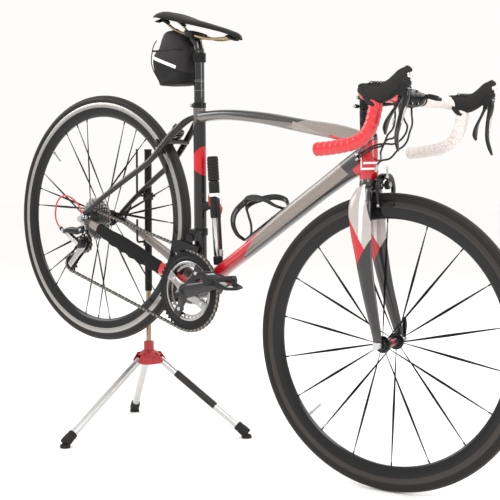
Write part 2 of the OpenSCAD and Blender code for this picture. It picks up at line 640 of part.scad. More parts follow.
rear_spoke_at = 24;
module front_tyre() { in_front() tyre(); }
module front_rim() { in_front() rim(237); }
module front_hub() {
    in_front() {
        color("black") difference() {
            union() {
                disc([0, 0, 0], -front_old / 2 + 6, front_old / 2 - 6, 10);
                for (side = [-1, 1]) {
                    disc([0, 0, 0], side * (front_flange_y - 2), side * (front_flange_y + 2), front_flange_r);
                    disc([0, 0, 0], side * (front_flange_y + 2), side * (front_old / 2 - 4), 13);
                }
            }
            disc([0, 0, 0], -99, 99, axle_r + run_gap);
        }
    }
}
module front_spokes() {
    color("black") in_front() rotate([0, -front_spoke_at, 0]) ring_of(front_spokes_n / 2) {
        bar([front_flange_r - 2, front_flange_y, 0], [rim_in_r + 1, 1.5, 0], spoke_r);
        rotate([0, 360 / front_spokes_n, 0])
            bar([front_flange_r - 2, -front_flange_y, 0], [rim_in_r + 1, -1.5, 0], spoke_r);
    }
}
rear_left_flange = 36;
rear_right_flange = -16;
rear_left_r = 22;
rear_right_r = 27;
module rear_tyre() { on_bike() tyre(); }
module rear_rim() { on_bike() rim(153); }
module rear_hub() {
    on_bike() {
        color("black") difference() {
            union() {
                disc([0, 0, 0], rear_right_flange - 1, rear_old / 2 - 8, 12);
                disc([0, 0, 0], rear_left_flange - 2, rear_left_flange + 2, rear_left_r);
                disc([0, 0, 0], rear_right_flange - 2, rear_right_flange + 2, rear_right_r);
                disc([0, 0, 0], rear_left_flange + 2, rear_old / 2 - 5, 15);
            }
            disc([0, 0, 0], -99, 99, axle_r + run_gap);
        }
    }
}
// Groups of three: a radial spoke to the left flange between two crossed ones to the right flange
module rear_spokes() {
    color("black") on_bike() rotate([0, -rear_spoke_at, 0]) ring_of(rear_spokes_n / 3) {
        bar([rear_left_r - 2, rear_left_flange, 0], [rim_in_r + 1, 1.5, 0], spoke_r);
        for (lead = [-1, 1]) rotate([0, lead * 12, 0])
            bar([7, rear_right_flange - 2.5 * lead, lead * (rear_right_r - 3)],
                [rim_in_r + 1, -1.5 - 1.5 * lead, lead * 9], spoke_r);
    }
}
// Axle with its skewer and nut, and the cam housing with the lever's pin
skewer_r = 5;
cam_y = 13.5;
module skewer(old, face, lever_angle) {
    half = old / 2;
    out = half + face;
    color("silver") {
        disc([0, 0, 0], -half + 0.2, half - 0.2, axle_r);
        disc([0, 0, 0], -out - 0.2, out + 0.2, skewer_r);
        disc([0, 0, 0], -out - 0.2, -out - 12, 8);
        disc([0, 0, 0], out + 0.2, out + 6.5, 8);
        rotate([0, -lever_angle, 0]) {
            for (dz = [-9.6, 7]) translate([-4, out + 5, dz]) cube([8, cam_y - 1, 2.6]);
            translate([0, out + cam_y, -9]) cylinder(h = 18, r = 2);
        }
    }
}
module release_lever(old, face, lever_angle) {
    out = old / 2 + face + cam_y;
    color("dimgray") rotate([0, -lever_angle, 0]) difference() {
        union() {
            translate([0, out, -6.5]) cylinder(h = 13, r = 5.5);
            limb([[2, out, 0], [18, out + 1, 0], [36, out - 1, 0], [52, out - 4, 0]],
                [4, 3, 2.5, 2], [5.5, 5.5, 6.5, 4], 12);
        }
        translate([0, out, -20]) cylinder(h = 40, r = 2 + run_gap);
    }
}
rear_lever_angle = 68;
front_lever_angle = 100;
front_tip_t = 7;
module front_skewer() { in_front() skewer(front_old, front_tip_t, front_lever_angle); }
module front_release_lever() { in_front() release_lever(front_old, front_tip_t, front_lever_angle); }
module rear_skewer() { on_bike() skewer(rear_old, dropout_t, rear_lever_angle); }
module rear_release_lever() { on_bike() release_lever(rear_old, dropout_t, rear_lever_angle); }

// --- drive ------------------------------------------------------------------------------------
chain_pitch = 12.7;
function pitch_r(teeth) = chain_pitch / 2 / sin(180 / teeth);
tooth_tip = 2.6;
ring_t = 2.2;
cog_pitch = 3.75;
cog_counts = [11, 12, 13, cog_teeth, 15, 17, 19, 21, 23, 25, 28];
small_cog_y = -chain_line - 3 * cog_pitch;
hanger = [8, 0, -28];
guide_at = [2, 0, -70];
tension_at = [-38, 0, -138];
pulley_teeth = 11;

module cassette() {
    color("silver") on_bike() difference() {
        union() {
            for (k = [0:len(cog_counts) - 1])
                disc([0, 0, 0], small_cog_y + k * cog_pitch - 0.8, small_cog_y + k * cog_pitch + 0.8,
                    k == 3 ? pitch_r(cog_teeth) + tooth_tip : pitch_r(cog_counts[k]) + tooth_tip - 0.5);
            disc([0, 0, 0], small_cog_y - 3, rear_right_flange - 2.6, 17);
        }
        disc([0, 0, 0], -99, 99, axle_r + run_gap);
    }
}
// Outline of a toothed ring
function teeth(n) = [for (i = [0:n - 1], k = [0:3]) let(a = 360 * (i + [0, 0.3, 0.5, 0.8][k]) / n,
    r = pitch_r(n) + [-3.6, -3.6, tooth_tip, tooth_tip][k]) r * [cos(a), sin(a)]];
bolt_circle = 55;
module chainring(n, inner, y) {
    translate([bb.x, y + ring_t / 2, bb.z]) rotate([90, 0, 0]) linear_extrude(ring_t) difference() {
        polygon(teeth(n));
        difference() {
            circle(inner);
            for (i = [0:3]) rotate(crank_angle + 45 + 90 * i) translate([bolt_circle, 0]) {
                circle(9);
                translate([0, -9]) square([18, 18]);
            }
        }
    }
}
module chainrings() {
    on_bike() {
        color("dimgray") chainring(ring_teeth, pitch_r(ring_teeth) - 30, -chain_line);
        color("silver") chainring(small_ring_teeth, pitch_r(small_ring_teeth) - 12, -chain_line + 6.2);
        color("silver") for (i = [0:3]) translate(bb + bolt_circle * [cos(crank_angle + 45 + 90 * i), 0,
            sin(crank_angle + 45 + 90 * i)]) disc([0, 0, 0], -chain_line + 1.2, -chain_line + 5, 5);
    }
}
pedal_axle_r = 4.5;
pedal_y = 118;
arm_out_y = 69.5;
module crank_arm(side, angle) {
    tip = crank_len * [cos(angle), 0, sin(angle)];
    y = [56, 60, 65, arm_out_y, arm_out_y];
    translate(bb) difference() {
        union() {
            limb([for (i = [0:4]) tip * [0, 0.15, 0.5, 0.9, 1.05][i] + [0, side * y[i], 0]],
                [6, 7, 6.5, 6, 5], [17, 17, 14, 14, 9], 14);
            disc([0, 0, 0], side * 50, side * 64, 19);
            disc(tip, side * (arm_out_y - 6.3), side * (arm_out_y + 6.3), 14);
        }
        disc([0, 0, 0], side * 40, side * 63.5, side > 0 ? spindle_r + run_gap : 1);
    }
    color("silver") translate(bb + tip) disc([0, 0, 0], side * (arm_out_y + 5), side * (pedal_y + 44), pedal_axle_r);
}
module crank_right() {
    color("dimgray") on_bike() {
        crank_arm(-1, crank_angle);
        disc(bb, -51, 62, spindle_r);
        // the four spider arms behind the large ring's bolts
        for (i = [0:3]) translate(bb) rotate([0, -(crank_angle + 45 + 90 * i), 0])
            plate([[8, -13], [bolt_circle + 8, -8], [bolt_circle + 8, 8], [8, 13]], -chain_line - 1.3, -chain_line - 6);
    }
}
module crank_left() { color("dimgray") on_bike() crank_arm(1, crank_angle + 180); }
module pedal(side, angle) {
    at_tip = bb + crank_len * [cos(angle), 0, sin(angle)];
    color("black") on_bike() translate(at_tip) difference() {
        union() {
            disc([0, 0, 0], side * (arm_out_y + 8), side * (pedal_y + 46), 10);
            plate([[-38, -6], [-30, -9], [30, -9], [52, -3], [54, 4], [30, 7], [-34, 7], [-44, 9], [-46, 3]],
                side * (pedal_y - 30), side * (pedal_y + 30));
        }
        disc([0, 0, 0], side * 60, side * (pedal_y + 44.5), pedal_axle_r + run_gap);
    }
}
module pedal_right() { pedal(-1, crank_angle); }
module pedal_left() { pedal(1, crank_angle + 180); }

// The chain's line: tangents and arcs round sprocket, ring, tension pulley and guide pulley.
// spin is -1 where it runs clockwise, seen from the drive side.
wheels_on_chain = [[[0, 0], pitch_r(cog_teeth), -1], [[bb.x, bb.z], pitch_r(ring_teeth), -1],
    [[tension_at.x, tension_at.z], pitch_r(pulley_teeth), -1], [[guide_at.x, guide_at.z], pitch_r(pulley_teeth), 1]];
function run_angle(i, j) = let(a = wheels_on_chain[i], b = wheels_on_chain[j], d = b[0] - a[0])
    atan2(d.y, d.x) - asin((b[2] * b[1] - a[2] * a[1]) / norm(d));
function arc_points(i, came, left) = let(w = wheels_on_chain[i], s = w[2],
    turn = s * ((s * (left - came) % 360 + 360) % 360), n = ceil(abs(turn) / 12))
    [for (k = [0:n]) let(a = came + turn * k / n)
        [w[0].x + s * w[1] * sin(a), w[0].y - s * w[1] * cos(a), a]];
chain_line_points = [for (j = [0:3]) each arc_points(j, run_angle((j + 3) % 4, j), run_angle(j, (j + 1) % 4))];
plate_h = 4;
function side_of(p, d) = [for (q = p) [q.x - d * sin(q[2]), q.y + d * cos(q[2])]];
module chain() {
    n = len(chain_line_points);
    color("dimgray") on_bike() {
        for (y = [1.35, -2.5]) translate([0, -chain_line + y + 1.15, 0]) rotate([90, 0, 0]) linear_extrude(1.15)
            polygon(concat(side_of(chain_line_points, plate_h), side_of(chain_line_points, -plate_h)),
                [[for (i = [0:n - 1]) i], [for (i = [0:n - 1]) n + i]]);
    }
}

// --- derailleurs --------------------------------------------------------------------------------
cage_half = 5.2;
module front_derailleur() {
    teeth_clear = pitch_r(ring_teeth) + tooth_tip + 1.2;
    lift = 148;
    color("silver") on_bike() {
        // band round the seat tube with the arm that holds the cage
        sleeve(bb + (lift - 9) * seat_up, bb + (lift + 9) * seat_up, seat_tube_r + 3, seat_tube_r + run_gap);
        translate(bb + [-cos(seat_angle) * lift - 4, -40, 125]) cube([22, 24, 26]);
        translate(bb + [-cos(seat_angle) * lift - 4, -46, 116]) cube([20, 7, 22]);
    }
    for (side = [-1, 1]) color("dimgray") on_bike()
        plate([for (a = [84:8:132]) [bb.x + teeth_clear * cos(a), bb.z + teeth_clear * sin(a)],
            [bb.x - 84, bb.z + 108], [bb.x - 60, bb.z + 117], [bb.x + 12, bb.z + 119]],
            -chain_line + side * cage_half, -chain_line + side * (cage_half + 1.2));
    color("dimgray") on_bike() translate(bb + [-62, -chain_line - cage_half - 1, 115]) cube([70, 2 * cage_half + 2, 2]);
}
module rear_derailleur() {
    y = -rear_old / 2 - dropout_t;
    color("dimgray") on_bike() {
        disc(hanger, -rear_old / 2 + 0.5, y - 12, 3.9);
        disc(hanger, y - 0.3, y - 11, 9);
        limb([hanger + [0, y - 6, 0], [-22, y - 7, -36], [-48, y - 7, -50], [-60, y - 6, -54]], [5, 5, 5, 4],
            [9, 8, 8, 5], 12);
        for (dz = [0, 13]) bar([-44 + dz, y - 3, -50 + dz * 0.4], guide_at + [-2 + dz * 0.6, y + 9, 2 + dz * 0.3], 5);
        disc(guide_at, -chain_line - cage_half - 3.2, y + 1, 13);
        bar([-56, y - 6, -53], [-78, y - 6, -47], 5, 3.5);
    }
    // the loop of outer cable from the stay's end to the adjuster
    color("red") on_bike() cord([[4, y - 3.5, 12], [-13, y - 5, 29], [-28, y - 6, 38], [-45, y - 7, 44],
        [-64, y - 8, 46], [-82, y - 8, 42], [-96, y - 8, 31], [-104, y - 8, 16], [-106, y - 7, -2],
        [-104, y - 7, -18], [-98, y - 6, -32], [-89, y - 6, -41], [-77.5, y - 6, -47]], 2.2);
}
module derailleur_cage() {
    color("silver") on_bike() {
        for (side = [-1, 1]) difference() {
            union() {
                limb([guide_at + [3, -chain_line + side * (cage_half + 0.8), 9],
                    guide_at + [-2, -chain_line + side * (cage_half + 0.8), -4],
                    between(guide_at, tension_at, 0.5) + [3, -chain_line + side * (cage_half + 0.8), 0],
                    tension_at + [-2, -chain_line + side * (cage_half + 0.8), -8]],
                    0.8, [9, 12, 9, 8], 8);
            }
            if (side < 0) disc(guide_at, -99, -99.5, 1);
        }
        for (c = [guide_at, tension_at])
            disc(c, -chain_line - cage_half - 0.8, -chain_line + cage_half + 0.8, 3);
    }
}
module pulley(c) {
    color("black") on_bike() translate([0, -chain_line, 0]) difference() {
        disc(c, -1.1, 1.1, pitch_r(pulley_teeth) - 2.2);
        disc(c, -3, 3, 3 + run_gap);
    }
}
module guide_pulley() { pulley(guide_at); }
module tension_pulley() { pulley(tension_at); }

// --- bottle cage and pump -----------------------------------------------------------------------
// Frame on top of the down tube: X along it from the crank axis, Z square to it
tube_run = unit(down_tube_top - bb);
module on_down_tube() {
    on_bike() translate(bb) rotate([0, -atan2(tube_run.z, tube_run.x), 0]) translate([0, 0, 27]) children();
}
bottle_r = 37;
module bottle_cage() {
    color("black") on_down_tube() {
        difference() {
            translate([196, -9, 0.6]) cube([158, 18, 3.4]);
            for (x = [240, 304]) translate([x, 0, -1]) cylinder(h = 9, r = 2.6);
        }
        for (side = [-1, 1]) limb([[347, side * 4, 2.5], [342, side * 24, 14], [334, side * bottle_r, 34],
            [315, side * bottle_r, 54], [284, side * 30, 70], [254, side * 14, 76], [234, side * 15, 75],
            [219, side * 27, 62], [210, side * 33, 42], [203, side * 26, 18], [200, side * 6, 3]],
            3, 3.4, 10, [1, 0, 0]);
    }
}
pump_low = [448, 0, 10];
pump_high = [357, 0, 268];
pump_up = unit(pump_high - pump_low);
pump_len = norm(pump_high - pump_low);
module pump() {
    color("silver") on_bike() bar(pump_low + 14 * pump_up, pump_low + 150 * pump_up, 10.5);
    color("black") on_bike() {
        bar(pump_low, pump_low + 22 * pump_up, 12.5);
        bar(pump_low + 118 * pump_up, pump_low + (pump_len - 62) * pump_up, 13.5);
        bar(pump_low + (pump_len - 61) * pump_up, pump_high, 14.5);
        bar(pump_low + 150 * pump_up, pump_low + 150 * pump_up + [-42, 0, 0], 9);
        cord([pump_low + 30 * pump_up + [22, -12, 0], pump_low + 90 * pump_up + [23, -13, 0],
            pump_low + 140 * pump_up + [21, -12, 0], pump_low + 160 * pump_up + [16, -9, 0],
            pump_low + 168 * pump_up + [8, -4, 0]], 4);
    }
    color("red") on_bike() bar(pump_low + 128 * pump_up + [17, -3, 0], pump_low + 150 * pump_up + [16, -3, 0], 6);
}

// --- cables ---------------------------------------------------------------------------------------
// Outer cables in front of the head tube: one to the front brake, the others loop from the middle
// of the bar to the ports of the top tube and the down tube
cable_r = 2.2;
adjuster = on_axis(head_low_s + 46) + [43, -25, -19];
head_mid = on_axis(head_high_s);
function from(at, pts) = [for (p = pts) at + p];
front_brake_line = concat(from(bar_at, [[1, 28, -10], [11, 22, -30], [22, 18, -55], [24, 12, -71], [27, 5, -91],
    [24, -2, -104], [19, -7, -111]]), from(adjuster, [[20, 10, 35], [6, 3, 27], [2, 1, 22], [0, 0, 13], [0, 0, 0]]));
rear_brake_line = concat(from(bar_at, [[1, -20, -14], [22, -14, -47], [31, -14, -56], [33, -15, -67],
    [30, -17, -80], [27, -19, -87], [13, -23, -101]]),
    from(head_mid, [[69, -26, 1], [46, -28, -7], [18, -27, -27], [-7, -22, -44]]));
gear_line_left = concat(from(bar_at, [[13, -54, -14], [23, -57, -37], [25, -57, -63], [11, -51, -83],
    [3, -43, -99]]), from(head_mid, [[64, -33, -19], [55, -16, -29], [45, 2, -39], [35, 17, -45], [21, 25, -48],
    [1, 26, -52], [-9, 22, -56]]));
gear_line_right = concat(from(bar_at, [[15, -40, -14], [28, -45, -40], [33, -45, -66], [20, -40, -86],
    [3, -35, -94]]), from(head_mid, [[60, -32, -7], [45, -35, -15], [24, -32, -32], [-2, -24, -54]]));
module control_cables() {
    color("black") on_bike() for (line = [front_brake_line, rear_brake_line, gear_line_left, gear_line_right])
        cord(line, cable_r);
}

stand_hub();
stand_leg_right();
stand_leg_near();
stand_leg_back();
lower_post();
upper_post();
upper_hook();
lower_hook();
head_tube();
top_tube();
down_tube();
seat_tube();
seatstays();
chainstays();
chainstay_guard();
seatpost();
saddle();
saddle_bag();
fork();
stem();
handlebar();
tape_right();
tape_left();
hood_right();
hood_left();
brake_lever_right();
brake_lever_left();
shift_lever_right();
shift_lever_left();
front_brake_arm_right();
front_brake_arm_left();
rear_brake_arm_right();
rear_brake_arm_left();
front_tyre();
front_rim();
front_spokes();
front_hub();
front_skewer();
front_release_lever();
rear_tyre();
rear_rim();
rear_spokes();
rear_hub();
rear_skewer();
rear_release_lever();
cassette();
chainrings();
crank_right();
crank_left();
pedal_right();
pedal_left();
chain();
front_derailleur();
rear_derailleur();
derailleur_cage();
guide_pulley();
tension_pulley();
bottle_cage();
pump();
control_cables();
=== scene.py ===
# Road bicycle on a folding tripod stand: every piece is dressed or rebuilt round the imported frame.
import bpy
import bmesh
import json
import math
import numpy as np
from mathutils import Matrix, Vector


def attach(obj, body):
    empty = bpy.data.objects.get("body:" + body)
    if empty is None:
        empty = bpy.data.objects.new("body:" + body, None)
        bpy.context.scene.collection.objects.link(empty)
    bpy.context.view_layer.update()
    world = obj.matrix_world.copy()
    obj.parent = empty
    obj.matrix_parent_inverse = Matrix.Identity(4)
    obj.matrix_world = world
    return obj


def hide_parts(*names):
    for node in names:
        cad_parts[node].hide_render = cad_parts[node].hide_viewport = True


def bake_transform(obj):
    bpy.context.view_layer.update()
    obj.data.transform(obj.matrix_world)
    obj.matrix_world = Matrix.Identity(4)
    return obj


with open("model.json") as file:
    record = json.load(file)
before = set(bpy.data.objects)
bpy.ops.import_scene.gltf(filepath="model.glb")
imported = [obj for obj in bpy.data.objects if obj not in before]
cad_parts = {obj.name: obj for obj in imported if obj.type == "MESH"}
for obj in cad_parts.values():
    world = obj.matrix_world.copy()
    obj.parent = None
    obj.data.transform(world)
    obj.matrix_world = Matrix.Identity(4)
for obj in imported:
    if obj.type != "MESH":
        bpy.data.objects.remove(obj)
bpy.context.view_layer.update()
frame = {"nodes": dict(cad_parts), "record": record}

# ---- camera --------------------------------------------------------------------------------
# A normal lens at the height of the saddle's nose, from ahead of the drive side.
camera = bpy.data.objects.new("camera", bpy.data.cameras.new("camera"))
bpy.context.scene.collection.objects.link(camera)
camera.location = (1.9348, -2.17153, 0.70937)
camera.rotation_euler = (math.radians(90 - 3.367), 0, math.radians(41.19))
camera.data.lens = 83.77
camera.data.sensor_width = 36
camera.data.shift_x = 0.0120
camera.data.shift_y = -0.0115
camera.data.clip_end = 60
bpy.context.scene.camera = camera


def linear(hex_colour):
    """An sRGB hex colour as the linear colour that shaders take."""
    parts = [int(hex_colour[i:i + 2], 16) / 255 for i in (1, 3, 5)]
    return [c / 12.92 if c <= 0.04045 else ((c + 0.055) / 1.055) ** 2.4 for c in parts] + [1.0]


def add(tree, kind, inputs=None, **settings):
    """A shader node with its settings and its inputs, each a value or another node's output."""
    made = tree.nodes.new(kind)
    for key, value in settings.items():
        setattr(made, key, value)
    for key, value in (inputs or {}).items():
        if isinstance(value, bpy.types.NodeSocket):
            tree.links.new(value, made.inputs[key])
        else:
            made.inputs[key].default_value = value
    return made


# ---- floor and light -----------------------------------------------------------------------
# White studio paper under the stand, lit by big soft boxes overhead and to both sides.
bpy.ops.object.select_all(action="DESELECT")
bpy.ops.mesh.primitive_plane_add(size=40, location=(0, 0, -0.0008))
paper = bpy.context.object
paper.name = "studio_floor"
paper_white = bpy.data.materials.new("studio_paper")
paper_white.use_nodes = True
tree = paper_white.node_tree
grain = add(tree, "ShaderNodeTexNoise", {"Scale": 3.0, "Detail": 4.0})
tint = add(tree, "ShaderNodeMix", {0: grain.outputs["Fac"], 6: linear("#fcfbfa"), 7: linear("#fffefd")},
           data_type="RGBA")
tree.links.new(tint.outputs[2], tree.nodes["Principled BSDF"].inputs["Base Color"])
tree.nodes["Principled BSDF"].inputs["Roughness"].default_value = 0.55
paper.data.materials.append(paper_white)

sky = bpy.data.worlds.new("studio")
bpy.context.scene.world = sky
sky.use_nodes = True
sky.node_tree.nodes["Background"].inputs["Color"].default_value = linear("#fffdfb")
sky.node_tree.nodes["Background"].inputs["Strength"].default_value = 1.0
bpy.context.scene.view_settings.view_transform = "Standard"

for name, place, size, power in (("key", (1.6, -2.6, 3.0), 1.8, 70), ("side", (-2.8, -1.6, 2.2), 1.6, 42),
                                 ("rim", (0.4, 3.0, 2.6), 2.0, 45), ("front", (3.4, 0.2, 1.6), 1.2, 26)):
    lamp = bpy.data.lights.new(name, "AREA")
    lamp.shape = "SQUARE"
    lamp.size = size
    lamp.energy = power
    held = bpy.data.objects.new(name, lamp)
    held.location = place
    held.rotation_euler = (Vector((0, 0, 0.5)) - Vector(place)).to_track_quat("-Z", "Y").to_euler()
    bpy.context.scene.collection.objects.link(held)

# ---- the bicycle's own frame ----------------------------------------------------------------
# The bicycle is drawn on its axle line in millimetres, X forward and Z up from the rear axle;
# it leans nose-down on the stand, and its fork and bar are turned a little to the left.
LEAN = math.radians(15.1437)
AXLE_HEIGHT = 592.8
MIDDLE = np.array([472.866, 14.8195, 0.0])
STEER_FOOT = np.array([941.879, 0.0, -12.572])
STEER_UP = np.array([-0.292372, 0.0, 0.956305])
STEER_OUT = np.array([0.956305, 0.0, 0.292372])
BB = np.array([407.025, 0.0, -70.0])
SEAT_UP = np.array([-0.2706, 0.0, 0.962692])
SEAT_TOP = np.array([282.278, 0.0, 373.801])
POST_TOP = np.array([242.77, 0.0, 514.354])
CLAMP = np.array([221.27, 0.0, 549.354])
BAR = np.array([879.044, 0.0, 534.982])
FRONT_AXLE = np.array([983.0, 0.0, 0.0])
home = {node: body for body, nodes in frame["record"]["behaviour"]["bodies"].items() for node in nodes}


def on_bike(p):
    """Bicycle millimetres to metres in the shared frame."""
    p = np.atleast_2d(np.asarray(p, float))
    c, s = math.cos(LEAN), math.sin(LEAN)
    out = np.column_stack([p[:, 0] * c + p[:, 2] * s, p[:, 1], -p[:, 0] * s + p[:, 2] * c + AXLE_HEIGHT])
    return (out - MIDDLE) / 1000


def steered(p, degrees):
    """Points turned about the steering axis."""
    q = np.atleast_2d(np.asarray(p, float)) - STEER_FOOT
    t = math.radians(degrees)
    return STEER_FOOT + q * math.cos(t) + np.cross(STEER_UP, q) * math.sin(t) \
        + np.outer(q @ STEER_UP, STEER_UP) * (1 - math.cos(t))


def on_fork(p):
    """A point of the fork or front wheel, turned with it."""
    return on_bike(steered(p, 7.5))


def on_bar(p):
    """A point of the stem or handlebar, turned with it."""
    return on_bike(steered(p, 5.8))


def on_front(p):
    """A point of the front wheel, from its axle."""
    return on_fork(np.atleast_2d(p) + FRONT_AXLE)


def at_bar(p):
    """A point from the middle of the handlebar."""
    return on_bar(np.atleast_2d(p) + BAR)


def on_stand(p):
    """A point of the stand, from the foot of its post."""
    return (np.atleast_2d(p) + np.array([101.0, 79.0, 0]) - MIDDLE) / 1000


def axis(s):
    """A point on the steering axis."""
    return STEER_FOOT + s * STEER_UP


def loft(points, wide, high, place, sides=32, across=(0, 1, 0), square=2.0, steps=6, blunt=0.15,
         relief=None, form=None):
    """A smooth limb along points: wide and high are its half sizes in mm, square over 2 makes it boxier."""
    p = np.array(points, float)
    rows = np.column_stack([p, np.broadcast_to(np.array(wide, float), len(p)),
                            np.broadcast_to(np.array(high, float), len(p))])
    t = np.concatenate([[0], np.cumsum(np.linalg.norm(np.diff(p, axis=0), axis=1))])
    slope = np.gradient(rows, t, axis=0)
    line = []
    for i in range(len(p) - 1):
        d = t[i + 1] - t[i]
        for s in np.linspace(0, 1, steps, endpoint=False):
            line.append((2 * s**3 - 3 * s**2 + 1) * rows[i] + (s**3 - 2 * s**2 + s) * d * slope[i]
                        + (3 * s**2 - 2 * s**3) * rows[i + 1] + (s**3 - s**2) * d * slope[i + 1])
    line = np.array(line + [rows[-1]])
    run = np.gradient(line[:, :3], axis=0)
    run /= np.linalg.norm(run, axis=1)[:, None]
    if blunt > 0:
        heads = []
        for end, way in ((0, -1), (-1, 1)):
            caps = []
            for a in (0.45, 0.85, 1.2, 1.42):
                cap = line[end].copy()
                cap[:3] += way * run[end] * math.sin(a) * blunt * min(line[end][3], line[end][4])
                cap[3:] *= math.cos(a) ** 0.6
                caps.append(cap)
            heads.append(caps)
        line = np.array(heads[0][::-1] + list(line) + heads[1])
        run = np.vstack([[run[0]] * 4, run, [run[-1]] * 4])
    along = np.concatenate([[0], np.cumsum(np.linalg.norm(np.diff(line[:, :3], axis=0), axis=1))])
    a = 2 * np.pi * np.arange(sides) / sides
    c = np.sign(np.cos(a)) * np.abs(np.cos(a)) ** (2 / square)
    s = np.sign(np.sin(a)) * np.abs(np.sin(a)) ** (2 / square)
    verts, m = [], np.array(across, float)
    for i, row in enumerate(line):
        m = m - (m @ run[i]) * run[i]
        m /= np.linalg.norm(m)
        up = np.cross(run[i], m)
        cc, ss = (c, s) if form is None else form(c, s, i / (len(line) - 1))
        w, h = row[3], row[4]
        if relief is not None and 4 <= i < len(line) - 4:
            extra = relief(along[i], a / (2 * np.pi))
            w, h = w + extra, h + extra
        verts.append(row[:3] + np.outer(cc * w, m) + np.outer(ss * h, up))
    verts = np.vstack(verts + [line[0][None, :3], line[-1][None, :3]])
    faces, uvs, n = [], [], len(line)
    for i in range(n - 1):
        for k in range(sides):
            q = (k + 1) % sides
            faces.append((i * sides + q, (i + 1) * sides + q, (i + 1) * sides + k, i * sides + k))
            u0, u1, v0, v1 = k / sides, (k + 1) / sides, along[i] / 1000, along[i + 1] / 1000
            uvs.append(((u1, v0), (u1, v1), (u0, v1), (u0, v0)))
    for k in range(sides):
        q = (k + 1) % sides
        faces.append((k, n * sides, q))
        uvs.append(((k / sides, 0), (0.5, 0), ((k + 1) / sides, 0)))
        faces.append(((n - 1) * sides + q, n * sides + 1, (n - 1) * sides + k))
        uvs.append((((k + 1) / sides, along[-1] / 1000), (0.5, along[-1] / 1000),
                    (k / sides, along[-1] / 1000)))
    return place(verts), faces, uvs


def lathe(profile, centre, place, way=(0, 1, 0), segments=64, ring=False):
    """A turned shape: profile is (distance along, radius) in mm; ring closes the profile on itself."""
    way = np.array(way, float) / np.linalg.norm(way)
    first = np.cross(way, (0, 0, 1) if abs(way[2]) < 0.9 else (1, 0, 0))
    first /= np.linalg.norm(first)
    second = np.cross(way, first)
    a = 2 * np.pi * np.arange(segments) / segments
    spin = np.outer(np.cos(a), first) + np.outer(np.sin(a), second)
    verts, n = [], len(profile)
    for x, r in profile:
        verts.append(np.array(centre, float) + x * way + max(r, 0.02) * spin)
    faces, uvs = [], []
    for i in range(n if ring else n - 1):
        j = (i + 1) % n
        for k in range(segments):
            q = (k + 1) % segments
            faces.append((i * segments + k, i * segments + q, j * segments + q, j * segments + k))
            uvs.append(((k / segments, i / n), ((k + 1) / segments, i / n),
                        ((k + 1) / segments, (i + 1) / n), (k / segments, (i + 1) / n)))
    if not ring:
        faces += [tuple(range(segments))[::-1], tuple((n - 1) * segments + k for k in range(segments))]
        uvs += [[(0, 0)] * segments] * 2
    return place(np.vstack(verts)), faces, uvs


def rod(a, b, r, place, ease=0.6, segments=24):
    """A round rod or boss between two points, with eased ends."""
    a, b = np.array(a, float), np.array(b, float)
    d = np.linalg.norm(b - a)
    e = min(ease, r * 0.5, d * 0.3)
    return lathe([(0, r - e), (e, r), (d - e, r), (d, r - e)], a, place, b - a, segments)


def block(low, high, place, ease=1.0, rounds=2):
    """A bevelled block between two corners."""
    low, high = np.array(low, float), np.array(high, float)
    made = bmesh.new()
    bmesh.ops.create_cube(made, size=1)
    for v in made.verts:
        v.co = Vector(((low + high) / 2 + np.array(v.co) * (high - low)).tolist())
    bmesh.ops.bevel(made, geom=made.edges[:], offset=min(ease, (high - low).min() * 0.45), segments=rounds,
                    profile=0.5, affect="EDGES")
    verts = np.array([v.co[:] for v in made.verts])
    made.verts.index_update()
    faces = [tuple(v.index for v in f.verts) for f in made.faces]
    made.free()
    return place(verts), faces, [[(0, 0)] * len(f) for f in faces]


def slab(outline, y0, y1, place, ease=0.5):
    """A plate across the bicycle with eased edges, from its outline of x, z points."""
    made = bmesh.new()
    loop = [made.verts.new((x, y0, z)) for x, z in outline]
    face = made.faces.new(loop)
    top = bmesh.ops.extrude_face_region(made, geom=[face])["geom"]
    for v in (g for g in top if isinstance(g, bmesh.types.BMVert)):
        v.co.y = y1
    made.normal_update()
    if ease:
        edges = [e for e in made.edges if abs(e.verts[0].co.y - e.verts[1].co.y) < 1e-6]
        bmesh.ops.bevel(made, geom=edges, offset=ease, segments=1, affect="EDGES")
    made.verts.index_update()
    verts = np.array([v.co[:] for v in made.verts])
    faces = [tuple(v.index for v in f.verts) for f in made.faces]
    made.free()
    return place(verts), faces, [[(0, 0)] * len(f) for f in faces]


def piece(name, parts, node, stands_for=(), angle=38):
    """One object from shapes and their materials, on the body of the named CAD node."""
    verts, faces, uvs, slots, mats, base = [], [], [], [], [], 0
    for shape, material in parts:
        if material not in mats:
            mats.append(material)
        v, f, u = shape
        verts.append(v)
        faces += [tuple(i + base for i in one) for one in f]
        uvs += u
        slots += [mats.index(material)] * len(f)
        base += len(v)
    mesh = bpy.data.meshes.new(name)
    mesh.from_pydata(np.vstack(verts).tolist(), [], faces)
    layer = mesh.uv_layers.new(name="UVMap")
    layer.data.foreach_set("uv", np.array([c for face in uvs for c in face], np.float32).ravel())
    for m in mats:
        mesh.materials.append(m)
    mesh.polygons.foreach_set("material_index", slots)
    turned = bmesh.new()
    turned.from_mesh(mesh)
    bmesh.ops.recalc_face_normals(turned, faces=turned.faces[:])
    turned.to_mesh(mesh)
    turned.free()
    made = bpy.data.objects.new(name, mesh)
    bpy.context.scene.collection.objects.link(made)
    bpy.ops.object.select_all(action="DESELECT")
    made.select_set(True)
    bpy.context.view_layer.objects.active = made
    bpy.ops.object.shade_smooth_by_angle(angle=math.radians(angle))
    if node is not None:
        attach(made, home[node])
    if stands_for:
        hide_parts(*stands_for)
    return made


DARK, DARK_GLOSS = 0.03, 0.18


